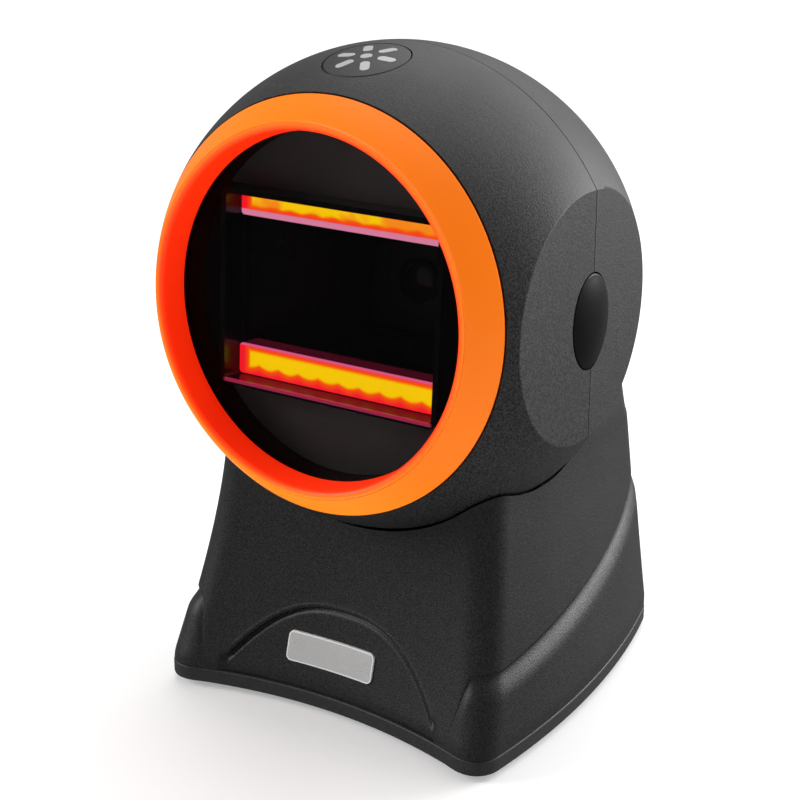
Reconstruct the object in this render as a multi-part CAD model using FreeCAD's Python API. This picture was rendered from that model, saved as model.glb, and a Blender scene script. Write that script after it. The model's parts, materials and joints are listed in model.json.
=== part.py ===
import FreeCAD, Part
import math
import os

# Desktop presentation scanner: a ball head with a recessed round window, tilting on a hidden
# yoke in a hollow, weighted stand.  Millimetres.  +Z is up and the window faces -Y.
# Everything is modelled about the head's pivot, and moved to the resting frame when written.

# ---------------------------------------------------------------- head
HEAD_RADIUS = 52.0
HEAD_WALL = 2.5
HEAD_HEIGHT = 92.5          # pivot above the table
WINDOW_TILT = 3.8           # degrees the window looks up
FLAT_X = 45.0               # flat sides of the ball
REAR_FLAT_DRAFT = 0.06      # how fast the flats close in behind the seam
SEAM_Y = 2.9                # joint face of the two head shells
SEAM_GAP = 0.25
FIT = 0.05                  # running or seating clearance
GAP = 0.3                   # clearance between covers

# ---------------------------------------------------------------- window end of the head
RING_RADIUS = 43.4
RING_CREST = 0.9            # how far the ring's bore edge is rounded back
GROOVE = 0.35               # dark line around the ring
LIP_THICKNESS = 2.6
PEG_RADIUS = 1.0
PEG_COUNT = 4
WELL_BORE = 36.6            # dark tube behind the ring
RING_BORE = WELL_BORE - 0.7     # the ring hides the tube's edge
WELL_WALL = 1.7
WELL_FLOOR = 13.0           # depths are measured from the pivot towards the window
PANE_THICKNESS = 1.5
MASK_THICKNESS = 0.8
MASK_FRONT = 21.0
MASK_HALF_WIDTH = WELL_BORE - 10.4      # the opening keeps its margins to the tube
MASK_TOP = WELL_BORE - 16.4
MASK_BOTTOM = 17.1 - WELL_BORE
MASK_CORNER = 0.8
HOOD_FRONT = 27.0           # frame around the opening, up to the back of the pane
HOOD_WALL = 1.2

# ---------------------------------------------------------------- optics
FUNNEL_HALF_WIDTH = WELL_BORE - 7.6
FUNNEL_HALF_HEIGHT = WELL_BORE - 12.6
FUNNEL_REAR = -6.0
FUNNEL_REAR_HALF = 11.0
FUNNEL_WALL = 1.5
BAR_LENGTH = 2 * MASK_HALF_WIDTH - 0.4
BAR_FRONT = 22.0            # lit face of both bars
BAR_CORNER = 0.8
BAR_WALL = 0.8
UPPER_BAR = (MASK_TOP - 5.1, MASK_TOP - 0.2)        # lower and upper edge
LOWER_BAR = (MASK_BOTTOM + 0.2, MASK_BOTTOM + 6.8)
LED_COUNT = 7
LED_SIZE = 3.0
LED_HEIGHT = 1.2
LED_BOARD_EDGE = WELL_BORE - 10.6   # outer edge of both light boards, from the window's middle
LED_BOARD_LAP = 2.6         # the boards reach past the chips' middle line
LED_BOARD_END = 3.4         # the boards stop short of the bars at each end
BOARD = 1.6
LENS_RADIUS = 5.0
LENS_LENGTH = 7.0
CAMERA_HALF = 9.0
CAMERA_DEPTH = 7.0
SENSOR_HALF_WIDTH = 24.0
SENSOR_HALF_HEIGHT = 18.0
DECODER_BACK = 9.0          # distance between the two upright boards
STANDOFF_X = 20.0
STANDOFF_Z = 14.0
STANDOFF_RADIUS = 2.5

# ---------------------------------------------------------------- badge on the crown
BADGE_TILT = 13.5           # degrees in front of the top
BADGE_RADIUS = 9.0
BADGE_THICKNESS = 2.5
PETALS = 6
PETAL_LENGTH = 4.0
PETAL_WIDTH = 2.0
PETAL_CENTRE = 4.9
DOT_RADIUS = 1.25

# ---------------------------------------------------------------- pivot and yoke
TILT_RANGE = 15.0           # degrees each way
PIVOT_RADIUS = 2.5
PIVOT_HEAD_RADIUS = 4.0
PIVOT_HEAD_HEIGHT = 1.0
EAR_RADIUS = 8.5
CAP_HALF_WIDTH = 7.5
CAP_HALF_HEIGHT = 10.0
CAP_Y = 2.5
CAP_Z = -1.0
CAP_DOME = 1.0
CAP_SEAT = 1.7              # depth of the cap's pocket in the flat
YOKE_THICKNESS = 2.5
YOKE_WIDTH = 10.0
YOKE_ANGLE = 25.0           # degrees the neck leans to the rear
YOKE_CROSSBAR = HEAD_RADIUS - HEAD_WALL - 9.0   # outside of the crossbar, from the pivot
YOKE_KNEE = 22.0
NECK_HALF_WIDTH = 12.0
NECK_HALF_DEPTH = 4.0
LEAD_WAY = 16.0             # slot through the neck for the flexible lead
FOOT_THICKNESS = 2.5
FOOT_HALF_WIDTH = 25.0
FOOT_HALF_DEPTH = 9.0
WASHER_THICKNESS = 1.0
NUT_HEIGHT = 3.2

# ---------------------------------------------------------------- stand
SADDLE_GAP = 0.6
FOOT_RADIUS = HEAD_RADIUS + SADDLE_GAP + 7.4    # top of the yoke's foot, from the pivot
STAND_WALL = 2.5
STAND_TOP = -24.0           # heights below are measured from the pivot
SHOULDER = -36.0
STAND_FOOT = -87.4
SHOULDER_HALF_WIDTH = 36.2
FOOT_PLAN_HALF_WIDTH = 43.6
SHOULDER_FRONT = 18.1
FOOT_FRONT = 27.2
SHOULDER_REAR = 54.0
FOOT_REAR = 61.5
WIDTH_EASE = 1.28
FRONT_EASE = 1.79
REAR_EASE = 0.60
WIDEST_Y = -5.0
SIDE_BOW = (0.0015, 0.0024)     # shoulder and foot, 1/mm
FRONT_HOLLOW = (0.0025, 0.0045)
REAR_BOW = 0.002
STAND_CORNER = 7.5
SWOOSH_STEP = 0.9
SWOOSH_FRONT_X = 37.0       # the step dies out at the front corners
ARCH_STEP = 0.9
ARCH_HALF_WIDTH = 27.8
ARCH_HEIGHT = 19.2
ARCH_POWER = 2.6            # how square-shouldered the arch is
PLATE_WIDTH = 22.6
PLATE_HEIGHT = 6.6
PLATE_CORNER = 1.2
PLATE_THICKNESS = 0.6
PLATE_Z = STAND_FOOT + 8.6
PLATE_X = -2.0
BASE_THICKNESS = 3.6
BASE_INSET = 0.4
RUBBER_HEIGHT = 1.5
RUBBER_RADIUS = 6.0
RUBBER_RECESS = 0.6
CORNER_POSTS = [(32.0, -22.5), (-32.0, -22.5), (29.0, 48.0), (-29.0, 48.0)]
POST_RADIUS = 4.0
POST_HEIGHT = 14.0
PILLAR = 3.0                # radius of the base plate's pillars

# ---------------------------------------------------------------- inside the stand
BALLAST = (60.0, 38.0, 8.0)
BALLAST_CORNER = 4.0
BALLAST_Y = 4.0
IO_BOARD = (44.0, 30.0)
IO_BOARD_Y = 41.0
IO_BOARD_RISE = 14.0        # underside above the base plate
SOCKET = (16.0, 16.0, 12.5)
SOCKET_MOUTH = (11.7, 9.0, 7.0)
SOCKET_SILL = 2.2
SOCKET_SETBACK = 2.6        # behind the rear face of the stand's foot
LATCH_WIDTH = 6.0
LATCH_RISE = 1.8

SCREW_RADIUS = 1.5
SCREW_HEAD_RADIUS = 2.6
SCREW_HEAD_HEIGHT = 1.6
SMALL_SCREW_RADIUS = 1.0
SMALL_HEAD_RADIUS = 1.8
SMALL_HEAD_HEIGHT = 1.2

ORIGIN = FreeCAD.Vector(0, 0, 0)
X_AXIS = FreeCAD.Vector(1, 0, 0)
FAR = 200.0

tilt = math.radians(WINDOW_TILT)
RING_SEAT = math.sqrt(HEAD_RADIUS ** 2 - RING_RADIUS ** 2)
RING_EDGE = math.sqrt(HEAD_RADIUS ** 2 - (RING_BORE + RING_CREST) ** 2)
FRONT_REACH = RING_EDGE * math.cos(tilt) + (RING_BORE + RING_CREST) * math.sin(tilt)
HEAD_Y = (FRONT_REACH - FOOT_REAR - SWOOSH_STEP) / 2
PLACE = FreeCAD.Vector(0, HEAD_Y, HEAD_HEIGHT)


# ---------------------------------------------------------------- helpers
def vec(x, y, z):
    return FreeCAD.Vector(x, y, z)


def block(x_range, y_range, z_range):
    lows = [min(pair) for pair in (x_range, y_range, z_range)]
    size = [abs(pair[1] - pair[0]) for pair in (x_range, y_range, z_range)]
    return Part.makeBox(size[0], size[1], size[2], vec(*lows))


def rod(radius, start, end):
    """Cylinder between two points."""
    along = vec(*end) - vec(*start)
    return Part.makeCylinder(radius, along.Length, vec(*start), along)


def depth_rod(radius, near, far, x=0.0, z=0.0):
    """Cylinder along the window axis; depths run towards the window, which faces -Y."""
    return rod(radius, (x, -near, z), (x, -far, z))


def depth_tube(outer, inner, near, far):
    return depth_rod(outer, near, far).cut(depth_rod(inner, near - 1, far + 1))


def sphere(radius, centre=ORIGIN):
    """Sphere whose poles lie on the flat sides and whose seam runs across the window end."""
    globe = Part.makeSphere(radius)
    globe.rotate(ORIGIN, vec(0, 1, 0), 90)
    globe.rotate(ORIGIN, X_AXIS, -90)
    globe.translate(centre)
    return globe


def fuse(shapes):
    whole = shapes[0]
    if len(shapes) > 1:
        whole = whole.fuse(shapes[1:])
    return whole.removeSplitter()


def looking(shape):
    """Turn a shape built about -Y so that it looks up with the window."""
    turned = shape.copy()
    turned.rotate(ORIGIN, X_AXIS, -WINDOW_TILT)
    return turned


def leaning(shape):
    """Turn a shape built straight down so that it leans back with the yoke."""
    turned = shape.copy()
    turned.rotate(ORIGIN, X_AXIS, YOKE_ANGLE)
    return turned


def mirrored(shape):
    return shape.mirror(ORIGIN, X_AXIS)


def write(node, shapes):
    """One STEP per node; a list makes a node of several separate solids."""
    parts = shapes if isinstance(shapes, list) else [shapes]
    solids = []
    for part in parts:
        solids.extend(part.Solids)
    for solid in solids:
        solid.translate(PLACE)
    whole = solids[0] if len(solids) == 1 else Part.makeCompound(solids)
    box = whole.BoundBox
    whole.exportStep("parts/" + node + ".step")
    print("%-22s %2d  valid %s  x %6.1f %6.1f  y %6.1f %6.1f  z %6.1f %6.1f  %9.1f mm3" % (
        node, len(solids), whole.isValid(), box.XMin, box.XMax, box.YMin, box.YMax,
        box.ZMin, box.ZMax, sum(solid.Volume for solid in solids)))


def rounded_plate(half_width, bottom, top, corner, near, far):
    """Upright plate with rounded corners, across the window axis."""
    plate = block((-half_width, half_width), (-near, -far), (bottom, top))
    uprights = [edge for edge in plate.Edges if abs(edge.Length - abs(far - near)) < 1e-6]
    return plate.makeFillet(corner, uprights)


def screw(start, towards, length, radius, head_radius, head_height):
    """Pan-head screw: its head starts at `start`, and its shank runs along `towards`."""
    along = vec(*towards).normalize()
    head = Part.makeCylinder(head_radius, head_height, vec(*start), along)
    shank = Part.makeCylinder(radius, head_height + length, vec(*start), along)
    recess = Part.makeCylinder(head_radius * 0.35, head_height * 0.6, vec(*start), along)
    return head.fuse(shank).removeSplitter().cut(recess)


# ---------------------------------------------------------------- head shells
def flats_prism(half_width):
    """Plan outline between the flat sides; behind the seam they close in slightly."""
    rear_half = half_width - REAR_FLAT_DRAFT * (FAR - SEAM_Y)
    plan = [(half_width, -FAR), (half_width, SEAM_Y), (rear_half, FAR),
            (-rear_half, FAR), (-half_width, SEAM_Y), (-half_width, -FAR)]
    wire = Part.makePolygon([vec(x, y, -FAR) for x, y in plan + plan[:1]])
    return Part.Face(wire).extrude(vec(0, 0, 2 * FAR))


def ball(radius, half_width):
    return sphere(radius).common(flats_prism(half_width))


def badge_seat(radius, near, far):
    """Cylinder standing on the crown, where the badge sits."""
    seat = Part.makeCylinder(radius, far - near, vec(0, 0, near))
    seat.rotate(ORIGIN, X_AXIS, BADGE_TILT)
    return seat


def cap_prism(clearance, inner_x, outer_x):
    """Oval prism on the right-hand flat, for the cap or its pocket."""
    ellipse = Part.Ellipse(ORIGIN, CAP_HALF_HEIGHT + clearance, CAP_HALF_WIDTH + clearance)
    face = Part.Face(Part.Wire(ellipse.toShape()))
    face.rotate(ORIGIN, vec(0, 1, 0), 90)
    face.translate(vec(inner_x, CAP_Y, CAP_Z))
    return face.extrude(vec(outer_x - inner_x, 0, 0))


def both_sides(shape):
    return [shape, mirrored(shape)]


BALL_CENTRE_WALL = FLAT_X - HEAD_WALL
EAR_INNER_X = BALL_CENTRE_WALL - 1.5
POCKET_X = FLAT_X - CAP_SEAT
YOKE_OUTER_X = EAR_INNER_X - WASHER_THICKNESS - 2 * FIT
YOKE_INNER_X = YOKE_OUTER_X - YOKE_THICKNESS
NUT_OUTER_X = YOKE_INNER_X - WASHER_THICKNESS - 2 * FIT


def neck_slot():
    """Arc-shaped slot under the head, as long as the neck needs over the whole tilt."""
    swing = TILT_RANGE + math.degrees(math.atan2(NECK_HALF_DEPTH, HEAD_RADIUS)) + 1.5
    width = 2 * (NECK_HALF_WIDTH + 1.0)
    sector = Part.makeCylinder(HEAD_RADIUS + 4, width, vec(-width / 2, 0, 0), X_AXIS, 2 * swing)
    sector.rotate(ORIGIN, X_AXIS, -90 + YOKE_ANGLE - swing - sector_start())
    hub = rod(HEAD_RADIUS - 8, (-width, 0, 0), (width, 0, 0))
    return sector.cut(hub)


def sector_start():
    """Direction, in degrees about +X from +Y, in which a part cylinder begins."""
    probe = Part.makeCylinder(1.0, 1.0, ORIGIN, X_AXIS, 1.0)
    centre = probe.CenterOfMass
    return math.degrees(math.atan2(centre.z, centre.y)) - 0.5


def shell_posts():
    """Places of the screws that hold the rear shell, seen along the window axis."""
    return [(26.0, 26.0), (-26.0, 26.0), (30.0, -13.0), (-30.0, -13.0)]


def head_shells():
    outer = ball(HEAD_RADIUS, FLAT_X)
    inner = ball(HEAD_RADIUS - HEAD_WALL, BALL_CENTRE_WALL)
    skin = outer.cut(inner)
    front_half = block((-FAR, FAR), (-FAR, SEAM_Y), (-FAR, FAR))
    rear_half = block((-FAR, FAR), (SEAM_Y + SEAM_GAP, FAR), (-FAR, FAR))
    ear = rod(EAR_RADIUS, (EAR_INNER_X, 0, 0), (FLAT_X, 0, 0))
    ear_space = rod(EAR_RADIUS + GAP, (EAR_INNER_X - 1, 0, 0), (POCKET_X, 0, 0))
    pocket = cap_prism(GAP, POCKET_X, FLAT_X + 5)
    pin_hole = rod(PIVOT_RADIUS + FIT, (EAR_INNER_X - 1, 0, 0), (FLAT_X + 5, 0, 0))
    slot = neck_slot()

    lip = looking(depth_tube(RING_RADIUS + 2, WELL_BORE + WELL_WALL + FIT,
                             RING_SEAT - LIP_THICKNESS, RING_SEAT)).common(outer)
    mouth = looking(block((-FAR, FAR), (-RING_SEAT, -FAR), (-FAR, FAR)))
    front = fuse([skin.common(front_half).cut(mouth), lip] + both_sides(ear))
    front = front.cut(both_sides(pocket) + both_sides(pin_hole))
    ledge = badge_seat(BADGE_RADIUS - 1.2, HEAD_RADIUS - 6, HEAD_RADIUS + 1)
    seat = badge_seat(BADGE_RADIUS + GAP / 2, badge_floor(), HEAD_RADIUS + 1)
    front = front.cut([ledge, seat])
    pegs = [looking(depth_rod(PEG_RADIUS + FIT, RING_SEAT - LIP_THICKNESS + 0.3, FAR, x, z))
            for x, z in on_circle(peg_circle(), PEG_COUNT, 0)]
    pilots = [looking(depth_rod(SMALL_SCREW_RADIUS + FIT, 0, RING_SEAT - 0.5, x, z))
              for x, z in on_circle(peg_circle(), PEG_COUNT, 45)]
    front = front.cut(pegs + pilots)

    rear = skin.common(rear_half).cut([slot] + both_sides(pocket) + both_sides(ear_space))
    rear_posts = []
    holes = []
    for x, z in shell_posts():
        post = depth_rod(SHELL_POST, POST_END - FIT, -FAR, x, z)
        rear_posts.append(looking(post).common(outer).common(rear_half))
        holes.append(looking(depth_rod(SCREW_RADIUS + FIT, 0, -FAR, x, z)))
        holes.append(looking(depth_rod(SCREW_HEAD_RADIUS + GAP, POST_END - 6.0, -FAR, x, z)))
    rear = fuse([rear] + rear_posts).cut(holes)
    write("head_front_shell", front)
    write("head_rear_shell", rear)


def peg_circle():
    return WELL_BORE + WELL_WALL + 2.6


def on_circle(radius, count, start):
    angles = [math.radians(start + 360.0 * i / count) for i in range(count)]
    return [(radius * math.cos(a), radius * math.sin(a)) for a in angles]


# ---------------------------------------------------------------- ring, window and well
POST_END = -12.0            # rear end of the chassis posts, as a depth
SHELL_POST = 3.0            # radius of the posts that tie the rear shell to the chassis


def bezel_ring():
    solid = sphere(HEAD_RADIUS).common(
        depth_tube(RING_RADIUS - GROOVE, RING_BORE, RING_SEAT + FIT, FAR))
    bore_edges = [edge for edge in solid.Edges
                  if abs(edge.BoundBox.XMax - RING_BORE) < 0.01 and edge.CenterOfMass.y < -RING_SEAT - 2]
    solid = solid.makeFillet(RING_CREST, bore_edges)
    pegs = [depth_rod(PEG_RADIUS, RING_SEAT - LIP_THICKNESS + 0.4, RING_SEAT + 1, x, z)
            for x, z in on_circle(peg_circle(), PEG_COUNT, 0)]
    write("bezel_ring", looking(fuse([solid] + pegs)))


def window():
    pane = depth_rod(WELL_BORE - FIT, HOOD_FRONT + FIT, HOOD_FRONT + PANE_THICKNESS)
    write("window_pane", looking(pane))
    mask = depth_rod(WELL_BORE - FIT, MASK_FRONT - MASK_THICKNESS, MASK_FRONT)
    hood = rounded_plate(MASK_HALF_WIDTH + HOOD_WALL, MASK_BOTTOM - HOOD_WALL, MASK_TOP + HOOD_WALL,
                         MASK_CORNER + HOOD_WALL, MASK_FRONT - MASK_THICKNESS, HOOD_FRONT)
    opening = rounded_plate(MASK_HALF_WIDTH, MASK_BOTTOM, MASK_TOP, MASK_CORNER,
                            MASK_FRONT - 2, HOOD_FRONT + 2)
    write("window_mask", looking(fuse([mask, hood]).cut(opening)))


def funnel(offset, front, rear):
    """Four-sided horn from the well's floor back to the camera."""
    def frame(depth, half_width, half_height):
        corners = [(-half_width, -half_height), (half_width, -half_height),
                   (half_width, half_height), (-half_width, half_height)]
        return Part.makePolygon([vec(x, -depth, z) for x, z in corners + corners[:1]])
    return Part.makeLoft([
        frame(front, FUNNEL_HALF_WIDTH + offset, FUNNEL_HALF_HEIGHT + offset),
        frame(rear, FUNNEL_REAR_HALF + offset, FUNNEL_REAR_HALF + offset)], True, True)


def standoff_places():
    return [(x, z) for x in (STANDOFF_X, -STANDOFF_X) for z in (STANDOFF_Z, -STANDOFF_Z)]


def post_tab(x, z):
    """Flat tab on the well's floor that reaches out to one post."""
    reach = math.hypot(x, z)
    tab = block((WELL_BORE - 6.0, reach), (-WELL_FLOOR, -WELL_FLOOR - 1.0), (-2.0, 2.0))
    tab.rotate(ORIGIN, vec(0, 1, 0), -math.degrees(math.atan2(z, x)))
    return tab


def optics_chassis():
    cup = depth_rod(WELL_BORE + WELL_WALL, WELL_FLOOR, RING_SEAT - 2 * FIT)
    cup = cup.cut(depth_rod(WELL_BORE, WELL_FLOOR + FUNNEL_WALL, FAR))
    ledge = depth_tube(WELL_BORE + FIT, WELL_BORE - 1.6, WELL_FLOOR + 1,
                       MASK_FRONT - MASK_THICKNESS - FIT)
    flange_front = RING_SEAT - LIP_THICKNESS - FIT
    flange = depth_tube(peg_circle() + 1.3, WELL_BORE + FIT, flange_front - 2.0, flange_front)
    horn = funnel(FUNNEL_WALL, WELL_FLOOR + FUNNEL_WALL, FUNNEL_REAR)
    space = funnel(0, WELL_FLOOR + FUNNEL_WALL, FUNNEL_REAR)
    posts = [depth_rod(SHELL_POST, POST_END, WELL_FLOOR + 1, x, z) for x, z in shell_posts()]
    posts += [post_tab(x, z) for x, z in shell_posts()]
    bosses = [depth_rod(STANDOFF_RADIUS, sensor_front(), WELL_FLOOR, x, z) for x, z in standoff_places()]
    body = fuse([cup, ledge, flange, horn] + posts + bosses).cut(space)
    pilots = [depth_rod(SCREW_RADIUS + FIT, POST_END - 1, POST_END + 9, x, z) for x, z in shell_posts()]
    pilots += [depth_rod(SMALL_SCREW_RADIUS + FIT, sensor_front() - 1, sensor_front() + 6, x, z)
               for x, z in standoff_places()]
    pilots += [depth_rod(SMALL_SCREW_RADIUS + FIT, 10, FAR, x, z)
               for x, z in on_circle(peg_circle(), PEG_COUNT, 45)]
    body = body.cut(pilots)
    keep_in = ball(HEAD_RADIUS - HEAD_WALL - GAP, BALL_CENTRE_WALL - GAP)
    write("optics_chassis", looking(body).common(keep_in))
    start = flange_front - 2.0 - SMALL_HEAD_HEIGHT - FIT
    write("chassis_screws", [
        looking(screw((x, -start, z), (0, -1, 0), 4.0, SMALL_SCREW_RADIUS, SMALL_HEAD_RADIUS,
                      SMALL_HEAD_HEIGHT))
        for x, z in on_circle(peg_circle(), PEG_COUNT, 45)])
    head_start = POST_END - 6.0 - 2 * FIT
    write("head_shell_screws", [
        looking(screw((x, -head_start + SCREW_HEAD_HEIGHT, z), (0, -1, 0), 12.0, SCREW_RADIUS,
                      SCREW_HEAD_RADIUS, SCREW_HEAD_HEIGHT))
        for x, z in shell_posts()])


def sensor_front():
    return FUNNEL_REAR - LENS_LENGTH - 1.0


def light_bars():
    board_rear = WELL_FLOOR + FUNNEL_WALL + FIT
    chip_front = board_rear + BOARD + LED_HEIGHT
    half_bar = BAR_LENGTH / 2
    half_board = half_bar - LED_BOARD_END
    pitch = (BAR_LENGTH - 8) / (LED_COUNT - 1)
    chips = []
    for name, (low, high) in (("upper", UPPER_BAR), ("lower", LOWER_BAR)):
        bar = rounded_plate(half_bar, low, high, BAR_CORNER, chip_front - 0.6, BAR_FRONT)
        hollow = block((BAR_WALL - half_bar, half_bar - BAR_WALL), (-chip_front + 2, -chip_front - 0.3),
                       (low + BAR_WALL, high - BAR_WALL))
        write(name + "_light_bar", looking(bar.cut(hollow)))
        middle = (low + high) / 2
        outward = 1 if middle > 0 else -1
        edge = [outward * LED_BOARD_EDGE, middle - outward * LED_BOARD_LAP]
        board = block((-half_board, half_board), (-board_rear, -board_rear - BOARD),
                      (min(edge), max(edge)))
        write(name + "_led_board", looking(board))
        for index in range(LED_COUNT):
            x = (index - (LED_COUNT - 1) / 2) * pitch
            chips.append(looking(block(
                (x - LED_SIZE / 2, x + LED_SIZE / 2), (-board_rear - BOARD, -chip_front),
                (middle - LED_SIZE / 2, middle + LED_SIZE / 2))))
    write("led_chips", chips)


def electronics():
    front = sensor_front()
    sensor = block((-SENSOR_HALF_WIDTH, SENSOR_HALF_WIDTH), (-front, -front + BOARD),
                   (-SENSOR_HALF_HEIGHT, SENSOR_HALF_HEIGHT))
    holes = [depth_rod(SMALL_SCREW_RADIUS + FIT, -FAR, 0, x, z) for x, z in standoff_places()]
    write("sensor_board", looking(sensor.cut(holes)))
    lens_bore = depth_rod(LENS_RADIUS + FIT, front + 2, FAR)
    housing = block((-CAMERA_HALF, CAMERA_HALF), (-front, -front - CAMERA_DEPTH + 1),
                    (-CAMERA_HALF, CAMERA_HALF))
    write("camera_housing", looking(housing.cut(lens_bore)))
    barrel = depth_rod(LENS_RADIUS, front + 2 + FIT, front + LENS_LENGTH)
    glass_seat = depth_rod(LENS_RADIUS - 1.2, front + LENS_LENGTH - 2, FAR)
    write("lens_barrel", looking(barrel.cut(glass_seat)))
    dome = sphere(8.0, vec(0, -(front + LENS_LENGTH - 0.6 - 8.0), 0))
    glass = depth_rod(LENS_RADIUS - 1.2 - FIT, front + LENS_LENGTH - 2 + FIT, FAR).common(dome)
    write("camera_lens", looking(glass))
    back = front - BOARD
    standoffs = []
    screws = []
    for x, z in standoff_places():
        pillar = depth_rod(STANDOFF_RADIUS, back - FIT, back - DECODER_BACK + FIT, x, z)
        bore = depth_rod(SMALL_SCREW_RADIUS + FIT, back + 1, back - FAR, x, z)
        standoffs.append(looking(pillar.cut(bore)))
        start = -(back - DECODER_BACK - BOARD) + SMALL_HEAD_HEIGHT + FIT
        screws.append(looking(screw((x, start, z), (0, -1, 0), DECODER_BACK + 2 * BOARD + 4,
                                    SMALL_SCREW_RADIUS, SMALL_HEAD_RADIUS, SMALL_HEAD_HEIGHT)))
    write("board_standoffs", standoffs)
    write("board_screws", screws)
    decoder_y = -(back - DECODER_BACK)
    decoder = block((-SENSOR_HALF_WIDTH, SENSOR_HALF_WIDTH), (decoder_y, decoder_y + BOARD),
                    (-SENSOR_HALF_HEIGHT, SENSOR_HALF_HEIGHT))
    write("decoder_board", looking(decoder.cut(holes)))
    top = decoder_y + BOARD
    chip = block((-7, 7), (top, top + 1.6), (-4, 10))
    write("processor_chip", looking(chip))
    beeper = rod(6.0, (13, top, -10), (13, top + 5.5, -10))
    beeper = beeper.cut(rod(1.0, (13, top + 4, -10), (13, top + 7, -10)))
    write("beeper", looking(beeper))
    plug = block((-15, -3), (top, top + 4.5), (-15, -9))
    plug = plug.cut(block((-14, -4), (top + 1.5, top + 6), (-14, -10)))
    write("lead_connector", looking(plug))


# ---------------------------------------------------------------- badge
def badge_floor():
    return math.sqrt(HEAD_RADIUS ** 2 - BADGE_RADIUS ** 2) - BADGE_THICKNESS + 0.8


def petal(clearance):
    """One rounded petal of the badge, on +X, standing tall."""
    half = PETAL_LENGTH / 2 - PETAL_WIDTH / 2
    width = PETAL_WIDTH + 2 * clearance
    bar = Part.makeBox(2 * half, width, FAR, vec(PETAL_CENTRE - half, -width / 2, 0))
    ends = [Part.makeCylinder(width / 2, FAR, vec(PETAL_CENTRE + side * half, 0, 0)) for side in (-1, 1)]
    return fuse([bar] + ends)


def badge():
    def pattern(clearance):
        inserts = [Part.makeCylinder(DOT_RADIUS + clearance, FAR)]
        for index in range(PETALS):
            turned = petal(clearance)
            turned.rotate(ORIGIN, vec(0, 0, 1), 360.0 * index / PETALS)
            inserts.append(turned)
        for insert in inserts:
            insert.rotate(ORIGIN, X_AXIS, BADGE_TILT)
        return inserts
    floor = badge_floor()
    disc = badge_seat(BADGE_RADIUS, floor + FIT, HEAD_RADIUS + 1).common(sphere(HEAD_RADIUS))
    write("crown_badge", disc.cut(pattern(FIT)))
    flange = badge_seat(BADGE_RADIUS - 1.2 - FIT, floor - 1.2, floor)
    lights = [flange]
    for insert in pattern(0):
        insert = insert.common(sphere(HEAD_RADIUS - 0.05))
        lights.append(insert.cut(sphere(floor - 1.0)))
    write("status_light_guide", fuse(lights))
    board = badge_seat(BADGE_RADIUS - 1.6, floor - 5.0, floor - 5.0 + BOARD)
    write("status_led_board", board)
    chips = []
    for x, y in on_circle(PETAL_CENTRE, PETALS, 0):
        chip = Part.makeBox(2.0, 2.0, LED_HEIGHT, vec(x - 1, y - 1, floor - 5.0 + BOARD))
        chip.rotate(ORIGIN, X_AXIS, BADGE_TILT)
        chips.append(chip)
    write("status_leds", chips)


# ---------------------------------------------------------------- pivot and yoke
def pivot():
    cap = cap_prism(0, POCKET_X + FIT, FLAT_X + CAP_DOME)
    dome_radius = (CAP_HALF_HEIGHT ** 2 + CAP_DOME ** 2) / (2 * CAP_DOME)
    dome = sphere(dome_radius, vec(FLAT_X + CAP_DOME - dome_radius, CAP_Y, CAP_Z))
    screw_space = rod(PIVOT_HEAD_RADIUS + GAP, (POCKET_X - 1, 0, 0),
                      (POCKET_X + PIVOT_HEAD_HEIGHT + GAP, 0, 0))
    cap = cap.common(dome).cut(screw_space)
    write("side_cap_right", cap)
    write("side_cap_left", mirrored(cap))
    head = rod(PIVOT_HEAD_RADIUS, (POCKET_X + FIT, 0, 0), (POCKET_X + FIT + PIVOT_HEAD_HEIGHT, 0, 0))
    pin = head.fuse(rod(PIVOT_RADIUS, (NUT_OUTER_X - NUT_HEIGHT, 0, 0), (POCKET_X + FIT + 0.5, 0, 0)))
    pin = pin.removeSplitter()
    write("pivot_screws", both_sides(pin))
    bore = rod(PIVOT_RADIUS + FIT, (0, 0, 0), (FAR, 0, 0))
    nut = Part.Face(Part.makePolygon([vec(NUT_OUTER_X - NUT_HEIGHT, y, z) for y, z in hexagon(4.6)]))
    nut = nut.extrude(vec(NUT_HEIGHT, 0, 0)).cut(bore)
    write("pivot_nuts", both_sides(nut))
    washers = []
    for start in (NUT_OUTER_X + FIT, YOKE_OUTER_X + FIT):
        washer = rod(6.5, (start, 0, 0), (start + WASHER_THICKNESS, 0, 0)).cut(bore)
        washers.extend(both_sides(washer))
    write("friction_washers", washers)


def hexagon(radius):
    corners = on_circle(radius, 6, 0)
    return corners + corners[:1]


def yoke_outline(out_x, knee, cross_x, depth):
    return [(out_x, 0), (out_x, -knee), (cross_x, -depth), (-cross_x, -depth), (-out_x, -knee), (-out_x, 0)]


def foot_screw_places():
    return [(x, y) for x in (19.0, -19.0) for y in (5.5, -5.5)]


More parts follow.
